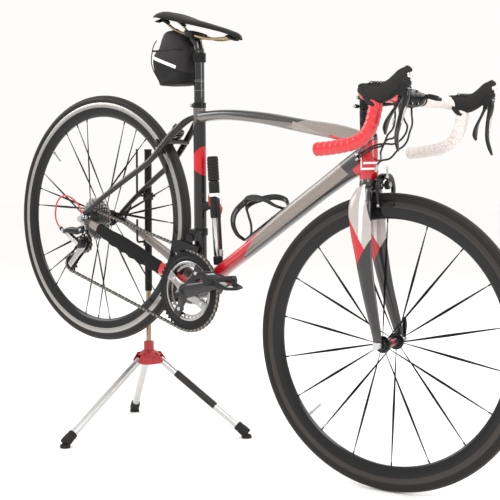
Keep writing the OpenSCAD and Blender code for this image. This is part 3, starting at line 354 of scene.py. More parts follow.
def surface(name, tone, other, grain, rough, metal=0.0, coat=0.0, bump=0.0, stretch=(1, 1, 1), panels=(),
            sheen=0.0, spread=0.12, pattern="noise"):
    """A finish: two tones mixed by a grain in mm, its roughness and relief from the same grain, then panels.
    A panel is (hex, place, [(point, normal), ...], roughness) and covers what lies ahead of every plane."""
    made = bpy.data.materials.new(name)
    made.use_nodes = True
    tree = made.node_tree
    shader = tree.nodes["Principled BSDF"]
    where = add(tree, "ShaderNodeTexCoord")
    spot = where.outputs["Object"]
    laid = add(tree, "ShaderNodeMapping", {"Vector": spot, "Scale": stretch})
    noise = add(tree, "ShaderNodeTexNoise", {"Vector": laid.outputs[0], "Scale": 1000 / grain, "Detail": 6.0})
    height = noise.outputs["Fac"]
    if pattern == "voronoi":
        cells = add(tree, "ShaderNodeTexVoronoi", {"Vector": laid.outputs[0], "Scale": 1000 / grain})
        height = cells.outputs["Distance"]
    if pattern == "wave":
        bands = add(tree, "ShaderNodeTexWave", {"Vector": laid.outputs[0], "Scale": 1000 / grain / 6.28,
                                                "Distortion": 1.2, "Detail": 3.0})
        height = bands.outputs["Fac"]
    colour = add(tree, "ShaderNodeMix", {0: height, 6: linear(tone), 7: linear(other)},
                 data_type="RGBA").outputs[2]
    rub = add(tree, "ShaderNodeMapRange", {"Value": height, "To Min": max(rough - spread, 0.02),
                                           "To Max": min(rough + spread, 1)}).outputs[0]
    for hex_colour, place, cuts, panel_rough in panels:
        mask = None
        for point, normal in cuts:
            start, tip = place([point])[0], place([np.array(point) + np.array(normal)])[0]
            way = (tip - start) / np.linalg.norm(tip - start)
            near = add(tree, "ShaderNodeVectorMath", {0: where.outputs["Object"], 1: start.tolist()},
                       operation="SUBTRACT")
            ahead = add(tree, "ShaderNodeVectorMath", {0: near.outputs[0], 1: way.tolist()},
                        operation="DOT_PRODUCT")
            edge = add(tree, "ShaderNodeMapRange", {"Value": ahead.outputs["Value"], "From Min": -0.0002,
                                                    "From Max": 0.0002})
            mask = edge.outputs[0] if mask is None else add(tree, "ShaderNodeMath",
                                                            {0: mask, 1: edge.outputs[0]},
                                                            operation="MULTIPLY").outputs[0]
        colour = add(tree, "ShaderNodeMix", {0: mask, 6: colour, 7: linear(hex_colour)},
                     data_type="RGBA").outputs[2]
        rub = add(tree, "ShaderNodeMix", {0: mask, 2: rub, 3: panel_rough}, data_type="FLOAT").outputs[0]
    tree.links.new(colour, shader.inputs["Base Color"])
    tree.links.new(rub, shader.inputs["Roughness"])
    shader.inputs["Metallic"].default_value = metal
    if max(linear(tone)[:3]) < DARK:
        shader.inputs["Specular IOR Level"].default_value = DARK_GLOSS
    shader.inputs["Coat Weight"].default_value = coat
    shader.inputs["Coat Roughness"].default_value = 0.08
    shader.inputs["Sheen Weight"].default_value = sheen
    if bump:
        rise = add(tree, "ShaderNodeBump", {"Height": height, "Distance": bump / 1000, "Strength": 0.7})
        tree.links.new(rise.outputs[0], shader.inputs["Normal"])
    return made


def dress(material, *nodes):
    """Gives CAD nodes whose shape is right their real finish."""
    for name in nodes:
        slots = frame["nodes"][name].data.materials
        slots.clear()
        slots.append(material)


def ridge(pitch, depth, lean=1.0):
    """The helical overlap of a wrapped strip: it steps up by depth once each pitch."""
    def relief(along, around):
        turn = (along / pitch + lean * around) % 1.0
        return depth * (turn - 0.5) * np.minimum(1, 12 * (1 - turn))
    return relief


# ---- stand ---------------------------------------------------------------------------------
# A red powder-coated hub casting carries three drawn aluminium legs with rubber feet; a champagne
# anodised post rises from it into a black one, on which two coated rod hooks are clamped.
red_powder = surface("powder_coated_casting", "#b3121f", "#8f0d18", 1.4, 0.42, coat=0.25, bump=0.05)
drawn_aluminium = surface("drawn_anodised_aluminium", "#d4d3d2", "#aeadac", 1.2, 0.30, metal=1.0, bump=0.01,
                          stretch=(1, 1, 0.15), spread=0.08)
champagne = surface("champagne_anodised_tube", "#a59378", "#8a7a62", 1.5, 0.32, metal=0.9,
                    stretch=(1, 1, 0.05))
black_anodised = surface("black_anodised_aluminium", "#141414", "#232221", 1.0, 0.34, metal=0.55, coat=0.15,
                         bump=0.01, stretch=(1, 1, 0.2))
stand_rubber = surface("moulded_rubber", "#1c1b1b", "#2c2a29", 0.9, 0.72, bump=0.08)
hook_steel = surface("dip_coated_steel_rod", "#1b1a1a", "#2b2929", 1.6, 0.45, bump=0.04)
zinc_steel = surface("zinc_plated_steel", "#c3c4c6", "#8f9093", 0.7, 0.28, metal=1.0, bump=0.01)
label_film = surface("printed_vinyl_label", "#191817", "#262422", 6.0, 0.35, coat=0.3)
dress(red_powder, "stand_hub")
dress(champagne, "lower_post")
dress(black_anodised, "upper_post")
dress(hook_steel, "upper_hook", "lower_hook")
for name, turn in (("right", 24.8), ("near", 264.8), ("back", 144.8)):
    c, s = math.cos(math.radians(turn)), math.sin(math.radians(turn))

    def on_leg(p):
        p = np.atleast_2d(p)
        return on_stand(np.column_stack([p[:, 0] * c - p[:, 1] * s, p[:, 0] * s + p[:, 1] * c, p[:, 2]]))

    pin, toe = np.array([34.0, 0, 203]), np.array([288.0, 0, 8])
    along = (toe - pin) / np.linalg.norm(toe - pin)
    length = np.linalg.norm(toe - pin)
    shaft = lathe([(-1.5, 8.8), (-0.5, 9.8), (0.5, 10), (length - 22, 10)], pin, on_leg, along, 40)
    boot = lathe([(length - 42, 11.2), (length - 41, 12.6), (length - 34, 13.2), (length - 33, 12.5),
                  (length - 30, 12.5), (length - 29, 13.4), (length - 14, 14), (length - 5, 13.2)],
                 pin, on_leg, along, 40)
    pad = lathe([(0, 13.4), (1.2, 14.2), (7, 13.2), (9, 11)], toe + [-6, 0, -8], on_leg, (0, 0, 1), 40)
    parts = [(shaft, drawn_aluminium), (boot, stand_rubber), (pad, stand_rubber)]
    if name == "right":
        sticker = lathe([(58, 10.05), (58.2, 10.25), (200, 10.25), (200.2, 10.05)], pin, on_leg, along, 40)
        parts.append((sticker, label_film))
    piece("leg_" + name, parts, "stand_leg_" + name, ["stand_leg_" + name])

# ---- frame tubes -----------------------------------------------------------------------------
# A moulded carbon frame, lacquered in charcoal and warm grey with red panels, masked and sprayed
# before a clear coat; the tubes swell and flatten into one another. A few panels are painted light,
# not paint: a white highlight along the down tube's upper edge, painted shade under its red end
# and a grey highlight on the seat tube's upper back.
LACQUER = dict(rough=0.3, coat=0.7, bump=0.004, spread=0.05)
RED, TAUPE, CHARCOAL, PAINTED_HIGHLIGHT_GREY, WHITE = "#b80d1c", "#80766f", "#211f20", "#57524f", "#e9e6e4"
down_run = (axis(417) - BB) / np.linalg.norm(axis(417) - BB)
down_up = np.array([-down_run[2], 0, down_run[0]])
down_paint = surface("charcoal_and_taupe_lacquer_with_painted_light", "#80766f", "#776d66", 9, panels=[
    (CHARCOAL, on_bike, [(BB + 14 * down_run - 13.5 * down_up + 4.5 * down_up, -down_up)], 0.3),
    # Painted highlight: a thin white strip along the down tube's upper edge stands for the light it catches.
    (WHITE, on_bike, [(BB + 31 * down_up, down_up), ((521, 0, 71), down_run)], 0.3),
    (CHARCOAL, on_bike, [(BB + 33.5 * down_up, down_up)], 0.3),
    (RED, on_bike, [((545, 0, 77), (-0.93, 0, 0.37))], 0.28),
    # Painted shade: the red is darker on the tube's underside, below 6 mm under its line.
    ("#8c0914", on_bike, [((545, 0, 77), (-0.93, 0, 0.37)), (BB - 6 * down_up, -down_up)], 0.28),
    (CHARCOAL, on_bike, [((759, 0, 351), (0.41, 0, 0.91))], 0.3),
    (RED, on_bike, [((797, 0, 352), (0.76, 0, -0.65)), ((797, 0, 352), (0.81, 0, 0.58))], 0.28)], **LACQUER)
down_tube = piece("down_tube_shell", [(loft(
    [BB, (468.96, 0, 5.43), (551.6, 0, 96.7), (646.5, 0, 206.6), (729, 0, 296.9), (782.8, 0, 353.1),
     (806.5, 0, 373.6)], [28, 24, 23, 22, 21, 19, 17], [18, 16, 17.5, 21.5, 22.5, 26, 30], on_bike, 48,
    square=2.5, blunt=0), down_paint)], "down_tube", ["down_tube"])
top_paint = surface("charcoal_over_grey_lacquer", "#6f6864", "#655e5a", 9, panels=[
    (TAUPE, on_bike, [((587, 0, 401), (0.5, 0, -0.87)), ((587, 0, 398), (0, 0, 1))], 0.3),
    (CHARCOAL, on_bike, [((285, 0, 352), (-0.283, 0, 0.959)), ((382, 0, 380), (-1, 0, 0))], 0.3),
    (CHARCOAL, on_bike, [((380, 0, 380), (-0.142, 0, 0.99)), ((380, 0, 380), (1, 0, 0)),
                         ((587, 0, 401), (-0.5, 0, 0.866))], 0.3),
    (RED, on_bike, [((700, 0, 411), (0.02, 0, -1)), ((712, 0, 405), (1, 0, 0.3))], 0.28),
    ("#8d847e", on_bike, [((720, 0, 404), (-0.1, 0, -1)), ((600, 0, 405), (1, 0, 0))], 0.3)], **LACQUER)
top_tube = piece("top_tube_shell",
                 [(loft([(292.1, 0, 353.6), (358.2, 0, 374.6), (468, 0, 395.6), (618, 0, 409.6),
                         (763, 0, 420.3), (797.0, 0, 418.9)], [15, 17, 18, 18, 17, 16],
                        [13, 13, 14, 16, 18, 17], on_bike, 48, square=2.6, blunt=0), top_paint)], "top_tube",
                 ["top_tube"])
seat_paint = surface("black_lacquer_with_red_panel_and_painted_highlight", "#1b1a1b", "#161516", 9, panels=[
    # Painted highlight: a grey patch on the upper back of the black seat tube stands for light on its gloss.
    (PAINTED_HIGHLIGHT_GREY, on_bike, [(SEAT_TOP - 38 * SEAT_UP, (-0.96, 0, 0.3)), ((311, 0, 267), (0.1, 0, 1))], 0.3),
    (RED, on_bike, [((311, 0, 267), (0.82, 0, -0.57)), ((323, 0, 222), (0.34, 0, 0.94))], 0.28)], **LACQUER)
bearing_cup = surface("machined_black_aluminium", "#202021", "#303031", 0.5, 0.36, metal=0.7, spread=0.05)
polished_steel = surface("polished_stainless_steel", "#cfcfd0", "#b6b7b9", 0.5, 0.16, metal=1.0, spread=0.05)
collar_at = SEAT_TOP + 1 * SEAT_UP
piece("seat_tube_shell",
      [(lathe([(-8, 15.9), (300, 15.9), (455, 16), (460, 16.4), (461, 16.2)], BB, on_bike, SEAT_UP, 64),
        seat_paint),
       (lathe([(-34, 21), (-33.4, 23), (33.4, 23), (34, 21)], BB, on_bike, (0, 1, 0), 64), seat_paint),
       (lathe([(-41, 18), (-40.4, 20), (-34.4, 20), (-34, 18)], BB, on_bike, (0, 1, 0), 48), bearing_cup),
       (lathe([(34, 18), (34.4, 20), (40.4, 20), (41, 18)], BB, on_bike, (0, 1, 0), 48), bearing_cup),
       (lathe([(0, 16.8), (0.8, 17.5), (3, 17.5), (3.6, 17), (9.5, 17), (10, 17.5), (12.2, 17.5), (13, 16.6)],
              collar_at, on_bike, SEAT_UP, 48), black_anodised),
       (rod(SEAT_TOP + 8 * SEAT_UP + [-21, -7.6, -6], SEAT_TOP + 8 * SEAT_UP + [-21, 7.6, -6], 4.4, on_bike),
        black_anodised),
       (rod(SEAT_TOP + 8 * SEAT_UP + [-21, -10, -6], SEAT_TOP + 8 * SEAT_UP + [-21, -7.4, -6], 3.2, on_bike),
        polished_steel)], "seat_tube", ["seat_tube"])
head_paint = surface("red_lacquer_with_white_lines", RED, "#ad0b18", 9,
                     panels=[(CHARCOAL, on_bike, [(axis(425) - 10 * STEER_OUT, (-0.85, 0, 0.5))], 0.3),
                             (WHITE, on_bike,
                              [(axis(398) - 8.5 * STEER_OUT, STEER_OUT),
                               (axis(398) - 4.5 * STEER_OUT, -STEER_OUT), (axis(392), STEER_UP),
                               (axis(422), -STEER_UP)], 0.3),
                             (WHITE, on_bike,
                              [(axis(392) - 8.5 * STEER_OUT, STEER_OUT), (axis(388), STEER_UP),
                               (axis(392.5), -STEER_UP)], 0.3),
                             (WHITE, on_bike,
                              [(axis(392) + 0 * STEER_OUT, STEER_OUT), (axis(401), STEER_UP),
                               (axis(405.5), -STEER_UP)], 0.3)], **LACQUER)
piece("head_tube_shell",
      [(lathe([(0.2, 18.6), (0.2, 21.3), (0.8, 21.5), (40, 21.1), (94, 21.5), (94.8, 21.2), (94.8, 18.6)],
              axis(367), on_bike, STEER_UP, 64, ring=True), head_paint),
       (lathe([(95.2, 15), (95.2, 20.2), (97, 20.8), (101, 20), (103.8, 18.2), (103.8, 15)], axis(367),
              on_bike, STEER_UP, 64, ring=True), black_anodised)], "head_tube", ["head_tube"])

# ---- stays -----------------------------------------------------------------------------------
# Slim black seatstays and deep taupe chainstays, bonded to the seat tube and crank shell; alloy
# dropouts with the gear hanger sit at their ends.
DROP = 68.0
chain_low = [(8, -DROP, -3), (60, -63, -9), (150, -55, -22), (235, -46, -37), (300, -35, -50),
             tuple(BB + [-52, -29, 8]), tuple(BB + [-14, -20, 2])]
seat_high = [(0, -DROP, 14), (45, -62, 66), (115, -53, 139), (187, -43, 214),
             tuple(SEAT_TOP + [-42, -31, -72]), tuple(SEAT_TOP + [-15, -16, -34]),
             tuple(SEAT_TOP + [-2, -7, -22])]


def mirror(pts):
    """The same line on the other side of the bicycle."""
    return [(x, -y, z) for x, y, z in pts]


stay_black = surface("satin_black_lacquer", "#1f1d1d", "#171616", 8, 0.33, coat=0.5, bump=0.003)
stay_taupe = surface("taupe_stay_lacquer", TAUPE, "#756b65", 9, panels=[
    (RED, on_bike, [((282, 0, -60), (0.9, 0, -0.2)), ((0, 0, 0), (0, -1, 0))], 0.28),
    (CHARCOAL, on_bike, [((30, 0, -5), (-1, 0, 0))], 0.3)], **LACQUER)
parts = [(loft(p, [5, 6, 6.5, 7, 8, 8, 6], [6, 7, 7.5, 8, 9, 8, 6], on_bike, 28), stay_black)
         for p in (seat_high, mirror(seat_high))]
bridge = 356 * np.array([math.sin(math.radians(40)), 0, math.cos(math.radians(40))])
parts.append((loft([bridge + [0, -37, 0], bridge + [0, 0, 1], bridge + [0, 37, 0]], 7, 6.5, on_bike, 20,
                   across=(1, 0, 0)), stay_black))


def at_rear_brake(p):
    """A point of the rear brake: Z away from the axle, X out of the stays."""
    p = np.atleast_2d(np.asarray(p, float)) * [-1, -1, 1]
    c, s = math.cos(math.radians(40)), math.sin(math.radians(40))
    return on_bike(np.column_stack([p[:, 0] * c + p[:, 2] * s, p[:, 1], -p[:, 0] * s + p[:, 2] * c]))


def at_front_brake(p):
    """A point of the front brake: Z up the fork from the axle, X ahead of it."""
    p = np.atleast_2d(np.asarray(p, float))
    t = math.radians(-17)
    c, s = math.cos(t), math.sin(t)
    return on_front(np.column_stack([p[:, 0] * c + p[:, 2] * s, p[:, 1], -p[:, 0] * s + p[:, 2] * c]))


def brake_bolt(out, back, side, place):
    """The centre bolt, spacer, side pin and nut that carry a brake's two arms."""
    return [(rod((back, 0, 353), (out - 0.6, 0, 353), 8, place), black_anodised),
            (rod((out - 0.6, 0, 353), (out + 21.5, 0, 353), 3, place), zinc_steel),
            (rod((out + 18.8, 0, 353), (out + 22, 0, 353), 6, place), zinc_steel),
            (block((out - 4.6, min(0, side * 22), 348), (out - 0.6, max(0, side * 22), 358), place),
             black_anodised),
            (rod((out - 2, side * 17, 353), (out + 8.8, side * 17, 353), 3, place), zinc_steel)]


parts += brake_bolt(10, 5, 1, at_rear_brake)
piece("seatstay_pair", parts, "seatstays", ["seatstays"])
parts = [(loft(p, [4, 5.5, 6.5, 7, 7, 7, 8], [9, 11, 12, 14, 16, 17, 17], on_bike, 28, square=2.4),
          stay_taupe) for p in (chain_low, mirror(chain_low))]
for side in (-1, 1):
    parts.append((lathe([(-2.9, 5.3), (-2.9, 14.5), (-2.4, 14.9), (2.4, 14.9), (2.9, 14.5), (2.9, 5.3)],
                        (0, side * DROP, 0), on_bike, (0, 1, 0), 48, ring=True), drawn_aluminium))
parts.append((slab([(-7, -8), (9, -8), (16, -27), (8, -36), (0, -27)], -65.2, -70.8, on_bike),
              drawn_aluminium))
parts.append((block(BB + [-56, -33, 2], BB + [-44, 33, 16], on_bike, 2.5), stay_taupe))
piece("chainstay_pair", parts, "chainstays", ["chainstays"])

# A neoprene sleeve wrapped round the drive-side stay, its edge scalloped by the chain's slap.
neoprene = surface("neoprene_wrap", "#111112", "#1c1b1b", 1.3, 0.8, bump=0.12)


def scallop(c, s, t):
    """The lower edge waves where the wrap is gathered on itself."""
    wave = 1 + 0.09 * math.sin(t * 46) * (s < 0) + 0.03 * math.sin(t * 19 + 1)
    return c * (1 + 0.04 * math.sin(t * 31)), s * wave


wrap = piece("chainstay_wrap", [(loft(
    [(62, -63, -9), (110, -59.5, -18), (170, -53, -27), (225, -47, -37), (286, -38, -48)],
    [9, 10.5, 11, 10.5, 9], [15, 18, 21, 20, 18], on_bike, 40, steps=22, form=scallop), neoprene)],
    "chainstay_guard", ["chainstay_guard"])

# ---- saddle and post --------------------------------------------------------------------------
# A glossy black carbon-and-alloy post with a twin-bolt head holds bronze-coated rails; the saddle is
# a padded shell under a perforated synthetic cover, its wings drooping at the back.
gloss_black = surface("gloss_black_lacquer", "#0d0d0e", "#131314", 10, 0.14, coat=0.9, spread=0.04)
ring_print = surface("printed_gauge_rings", "#6d6d6f", "#5e5e60", 3, 0.3, coat=0.6)
bronze_rail = surface("bronze_coated_steel_rail", "#b39e78", "#8e7a58", 1.2, 0.3, metal=0.9, bump=0.005)
saddle_cover = surface("synthetic_leather_cover", "#0f0f0f", "#181717", 1.6, 0.5, bump=0.12,
                       pattern="voronoi")
saddle_base = surface("moulded_nylon_shell", "#121212", "#1d1c1c", 2.4, 0.45, bump=0.03)
parts = [(lathe([(-115, 13), (-114, 13.6), (40, 13.6), (146, 13.6), (150, 13.2)], SEAT_TOP, on_bike, SEAT_UP,
                64), gloss_black),
         (loft([POST_TOP - 8 * SEAT_UP, POST_TOP + [-8, 0, 13], CLAMP - [2, 0, 11]], [13.6, 12.5, 13],
               [13.6, 13, 17], on_bike, 36, square=2.3), gloss_black),
         (loft([CLAMP + [0, -28, -1.5], CLAMP + [0, 0, -2.5], CLAMP + [0, 28, -1.5]], [17, 19, 17], [6, 8, 6],
               on_bike, 32, across=(1, 0, 0), square=3), black_anodised),
         (loft([CLAMP + [0, -28, 4.5], CLAMP + [0, 0, 6.5], CLAMP + [0, 28, 4.5]], [15, 17, 15],
               [2.5, 3, 2.5], on_bike, 32, across=(1, 0, 0), square=3), black_anodised)]
parts += [(lathe([(s, 13.62), (s, 13.72), (s + 1.1, 13.72), (s + 1.1, 13.62)], SEAT_TOP, on_bike, SEAT_UP, 64,
                 ring=True), ring_print) for s in (44, 66, 70)]
for dx in (-13, 13):
    parts.append((rod(CLAMP + [dx, 0, -24], CLAMP + [dx, 0, 9], 2.5, on_bike), polished_steel))
    parts.append((rod(CLAMP + [dx, 0, -26], CLAMP + [dx, 0, -21], 4.4, on_bike), polished_steel))
piece("seat_post", parts, "seatpost", ["seatpost"])
TOP = CLAMP + [0, 0, 26.5]


def saddle_form(c, s, t):
    """Crowned on top, hollow underneath, with the wings drooping to the back."""
    droop = 0.75 * max(0, 1 - t / 0.45) ** 0.8 + 0.12
    up = np.where(s > 0, s, s * 0.25)
    return c, up - droop * np.abs(c) ** 2.4 - 0.1 * np.exp(-(c / 0.22) ** 2) * (s > 0) * (0.15 < t < 0.85)


saddle_line = [TOP + p
               for p in ([-116, 0, 1], [-104, 0, 2], [-84, 0, 3], [-58, 0, 2], [-20, 0, 0], [20, 0, 0],
                         [62, 0, 0], [112, 0, -1], [142, 0, -5], [153, 0, -9])]
saddle = piece("saddle_top",
               [(loft(saddle_line, [40, 58, 67, 66, 50, 34, 24, 19, 16, 7],
                      [9, 12, 13, 13, 12, 11.5, 10, 8.5, 7.5, 4], on_bike, 64, steps=10, form=saddle_form,
                      blunt=0.5), saddle_cover)], "saddle", ["saddle"], angle=60)
parts = []
for side in (-1, 1):
    parts.append((loft([CLAMP + [-88, side * 30, 18], CLAMP + [-62, side * 25, 5],
                        CLAMP + [-45, side * 21, 0], CLAMP + [20, side * 21, 0], CLAMP + [55, side * 21, 0],
                        CLAMP + [80, side * 17, 4], CLAMP + [124, side * 8, 17]], 3.5, 3.5, on_bike, 16),
                  bronze_rail))
    parts.append((loft([CLAMP + [-96, side * 32, 22], CLAMP + [-84, side * 30, 18],
                        CLAMP + [-74, side * 28, 14]], [7, 7.5, 6], [6, 6, 5], on_bike, 16), saddle_base))
parts.append((loft([CLAMP + [112, 0, 17], CLAMP + [128, 0, 16], CLAMP + [140, 0, 15]], [13, 13, 10],
                   [5, 5.5, 4], on_bike, 20), saddle_base))
parts.append((loft([CLAMP + [-92, -50, 12], CLAMP + [-100, 0, 25], CLAMP + [-92, 50, 12]], [9, 10, 9],
                   [2.2, 2.2, 2.2], on_bike, 16, across=(1, 0, 0)), saddle_base))
piece("saddle_rails", parts, "saddle")

# ---- saddle bag --------------------------------------------------------------------------------
# A small wedge bag sewn from coated ripstop, stiffened inside, its zip and piping round the lid and a
# reflective band across the back; webbing holds it to the rails and round the post.
ripstop = surface("coated_ripstop_nylon", "#1d1c1d", "#2b2929", 0.9, 0.62, bump=0.12, sheen=0.05,
                  panels=[("#f1efec", on_bike,
                           [(CLAMP + [-60, 0, -80], (-0.08, 0, -0.997)),
                            (CLAMP + [-60, 0, -88], (0.08, 0, 0.997)), (CLAMP + [-14, 0, 0], (-1, 0, 0))],
                           0.25), ("#151414", on_bike, [(CLAMP + [-60, 0, -88], (-0.08, 0, -0.997))], 0.7)])
webbing = surface("woven_nylon_webbing", "#121212", "#1e1d1d", 1.1, 0.7, bump=0.15, pattern="wave")
zip_tape = surface("zip_tape_and_piping", "#0f0f0f", "#1c1b1b", 0.8, 0.6, bump=0.1)
buckle_yellow = surface("moulded_acetal_buckle", "#c9b83c", "#b3a332", 2, 0.4)


def from_clamp(u, y, v):
    """A point from the saddle's clamp by level distance ahead, left and height."""
    c, s = math.cos(LEAN), math.sin(LEAN)
    return CLAMP + [u * c - v * s, y, u * s + v * c]


bag_rows = [(-123, -93, -19, 30), (-119, -99, -13, 34), (-100, -112, -9, 36), (-77, -126, -6, 37),
            (-60, -129, -7, 38), (-43, -127, -9, 38), (-18, -120, -32, 36), (-8, -116, -57, 31),
            (-3, -112, -76, 25)]
bag = piece("bag_shell",
            [(loft([from_clamp((u0 + u1) / 2, 0, v) for v, u0, u1, w in bag_rows],
                   [w for v, u0, u1, w in bag_rows], [(u1 - u0) / 2 for v, u0, u1, w in bag_rows], on_bike,
                   80, square=4.2, steps=7, blunt=0.08), ripstop)], "saddle_bag", ["saddle_bag"], angle=60)
bpy.ops.object.select_all(action="DESELECT")
rng = np.random.default_rng(7)
waves = rng.normal(size=(7, 3)) * 60
shift = rng.uniform(0, 6.28, 7)
for v in bag.data.vertices:
    p = np.array(v.co)
    sag = sum(math.sin(w @ p + s) for w, s in zip(waves, shift)) / 7
    v.co = Vector((p + np.array(v.normal) * 0.0016 * sag).tolist())
parts = []
for side in (-1, 1):
    seam = [from_clamp(u0 + 5, side * w * 0.93, v) for v, u0, u1, w in bag_rows[1:8]]
    parts.append((loft(seam, 1.3, 1.3, on_bike, 10), zip_tape))
    seam = [from_clamp(u, side * 37.2, -34 - 3 * math.cos((u + 70) / 45)) for u in range(-118, -8, 12)]
    parts.append((loft(seam, 1.5, 2.6, on_bike, 10), zip_tape))
    parts.append((loft([CLAMP + [-50, side * 14, -26], CLAMP + [-50, side * 17, -12],
                        CLAMP + [-50, side * 21, 4.2], CLAMP + [-50, side * 24, -10],
                        CLAMP + [-50, side * 20, -26]], [9, 9, 9, 9, 9], [0.9, 0.9, 0.9, 0.9, 0.9], on_bike,
                       12, across=(1, 0, 0), square=4), webbing))
parts.append((lathe([(-30, 14.2), (-30, 17.2), (-29, 17.6), (-8, 17.6), (-7, 17.2), (-7, 14.2)], POST_TOP,
                    on_bike, SEAT_UP, 48, ring=True), webbing))
parts.append((block(CLAMP + [-60, -26, -26], CLAMP + [-42, -19, -17], on_bike, 2), buckle_yellow))
piece("bag_straps", parts, "saddle_bag")

# ---- fork ------------------------------------------------------------------------------------
# A carbon fork: deep blades lacquered silver-grey above and black below, a red strip behind them and
# a black wedge at the crown; the steerer runs up through the head tube.
CROWN = 361.0
blade = surface("silver_over_black_lacquer", "#b3aca8", "#a39b97", 12,
                panels=[("#e4e1df", at_front_brake,
                         [((-47, 0, 300), (1, 0, -0.02)), ((-37, 0, 300), (-1, 0, 0.06))], 0.25),
                        (CHARCOAL, at_front_brake, [((-35, 0, 330), (1, 0, 0.22))], 0.3),
                        (RED, at_front_brake, [((-46, 0, 232), (-0.85, 0, -0.5))], 0.28),
                        (CHARCOAL, at_front_brake, [((-38, 0, 205), (0.86, 0, -0.5))], 0.3),
                        (CHARCOAL, at_front_brake, [((-30, 0, 62), (0, 0, -1))], 0.3),
                        (CHARCOAL, at_front_brake,
                         [((-43, 12, 344), (0, -1, 0.9)), ((-43, -12, 344), (0, 1, 0.9))], 0.3)], **LACQUER)
bare_alloy = surface("turned_aluminium", "#8a8a8c", "#77777a", 0.5, 0.32, metal=1.0)
parts = [(loft([(-2, side * 53.5, -7), (-4, side * 53.5, 18), (-14, side * 50, 65),
                (-27, side * 45, CROWN - 240), (-40, side * 40, CROWN - 165), (-48, side * 36, CROWN - 105),
                (-50, side * 30, CROWN - 45), (-45, side * 17, CROWN - 18)],
               [3.4, 5, 7, 8.5, 9.5, 10.5, 12, 13], [9, 11, 14, 17, 21, 26, 27, 21], at_front_brake, 40),
          blade) for side in (-1, 1)]
parts += [(loft([(-45, -24, CROWN - 22), (-44, 0, CROWN - 15), (-45, 24, CROWN - 22)], [22, 22, 22],
                [12, 14, 12], at_front_brake, 32, across=(1, 0, 0)), blade),
          (lathe([(CROWN - 24, 21), (CROWN - 6, 22.6), (CROWN + 2, 21.4), (CROWN + 5.2, 20.2)], (-43, 0, 0),
                 at_front_brake, (0, 0, 1), 56), blade),
          (lathe([(CROWN - 10, 14.2), (CROWN, 14.25), (568, 14.25), (569, 13.6)], (-43, 0, 0), at_front_brake,
                 (0, 0, 1), 40), bare_alloy)]
parts += brake_bolt(-11, -23, -1, at_front_brake)
piece("fork_blades", parts, "fork", ["fork"])

# ---- stem and handlebar ------------------------------------------------------------------------
# A forged black alloy stem clamps the drop bar; polished bolts, black spacers and a cap sit on the
# steerer, and a plastic mount for a small computer is strapped beside it.
stem_black = surface("bead_blasted_black_aluminium", "#151515", "#1f1e1e", 0.6, 0.42, metal=0.5, bump=0.03)
moulded_black = surface("moulded_abs", "#151516", "#222223", 1.0, 0.5, bump=0.04)
STEM = axis(542)
at_clamp = STEM + 100 * STEER_OUT
parts = [(rod(axis(521.5), axis(562), 18, on_bar, 1.5, 48), stem_black),
         (loft([STEM, STEM + 30 * STEER_OUT, at_clamp - 18 * STEER_OUT, at_clamp], [17, 15.5, 15, 17],
               [17, 15, 15, 18], on_bar, 36, square=2.6), stem_black),
         (lathe([(-23, 16.2), (-23, 20), (-21.5, 21.3), (-1, 21.3), (-0.4, 20.6), (0.4, 20.6), (1, 21.3),
                 (21.5, 21.3), (23, 20), (23, 16.2)], at_clamp, on_bar, (0, 1, 0), 56, ring=True),
          stem_black),
         (lathe([(562.4, 15), (562.6, 18), (565, 17.6), (567, 15), (567.2, 4), (566, 3.6), (566, 0.2)],
                (0, 0, 0), lambda p: on_bar(p + STEER_FOOT), STEER_UP, 48), gloss_black)]
for i in range(3):
    low = 471.4 + i * 16.87
    parts.append((lathe([(low, 14.6), (low, 18), (low + 0.6, 18.4), (low + 16, 18.4), (low + 16.6, 18),
                         (low + 16.6, 14.6)], (0, 0, 0), lambda p: on_bar(p + STEER_FOOT), STEER_UP, 56,
                        ring=True), stem_black))
for dy in (-7, 7):
    s = STEM + 10 * np.sign(dy) * STEER_UP
    parts.append((rod(s - 24 * STEER_OUT + [0, dy - 6, 0], s - 24 * STEER_OUT + [0, dy + 6, 0], 4.6, on_bar),
                  stem_black))
    parts.append((rod(s - 26 * STEER_OUT + [0, dy - 8, 0], s - 26 * STEER_OUT + [0, dy - 5, 0], 3.6, on_bar),
                  polished_steel))
for dy in (-14, 14):
    for up in (-13, 13):
        spot = at_clamp + up * STEER_UP + [0, dy, 0]
        parts.append((rod(spot + 12 * STEER_OUT, spot + 19 * STEER_OUT, 4.2, on_bar), stem_black))
        parts.append((rod(spot + 18.5 * STEER_OUT, spot + 19.6 * STEER_OUT, 2.6, on_bar), polished_steel))
piece("stem_body", parts, "stem", ["stem"])
bar_black = surface("shot_peened_black_bar", "#191919", "#232222", 0.8, 0.4, metal=0.4, bump=0.02)
HALF = [(0, -25, 0), (0, -60, 0), (-2, -115, 0), (-4, -150, 0), (-2, -177, 1), (5, -195, 1), (20, -204, 0),
        (33, -207, -5), (41, -207, -17), (43, -207, -36), (42, -207, -62), (38, -208, -76), (29, -208, -90),
        (16, -209, -102), (0, -210, -111), (-18, -210, -119), (-40, -210, -128), (-69, -210, -138)]
parts = [(lathe([(-24, 15.85), (24, 15.85), (40, 15.4), (60, 13.4), (64, 12.4)], (0, 0, 0), at_bar, (0, 1, 0),
                48), bar_black),
         (lathe([(-24, 15.85), (24, 15.85), (40, 15.4), (60, 13.4), (64, 12.4)], (0, 0, 0), at_bar,
                (0, -1, 0), 48), bar_black),
         (block((25, 24, 8), (59, 50, 17), at_bar, 3.5, 3), moulded_black),
         (lathe([(16, 11), (17.8, 12.6), (18.8, 12.2), (18.8, 7), (17.6, 6)], (42, 37, 0), at_bar, (0, 0, 1),
                40), moulded_black),
         (loft([(6, 37, -12), (16, 37, 2), (30, 37, 12)], [7, 7, 7], [4, 4, 4], at_bar, 16), moulded_black),
         (lathe([(31, 16), (31, 18), (43, 18), (43, 16)], (0, 0, 0), at_bar, (0, 1, 0), 40, ring=True),
          moulded_black)]
piece("bar_centre", parts, "handlebar", ["handlebar"])

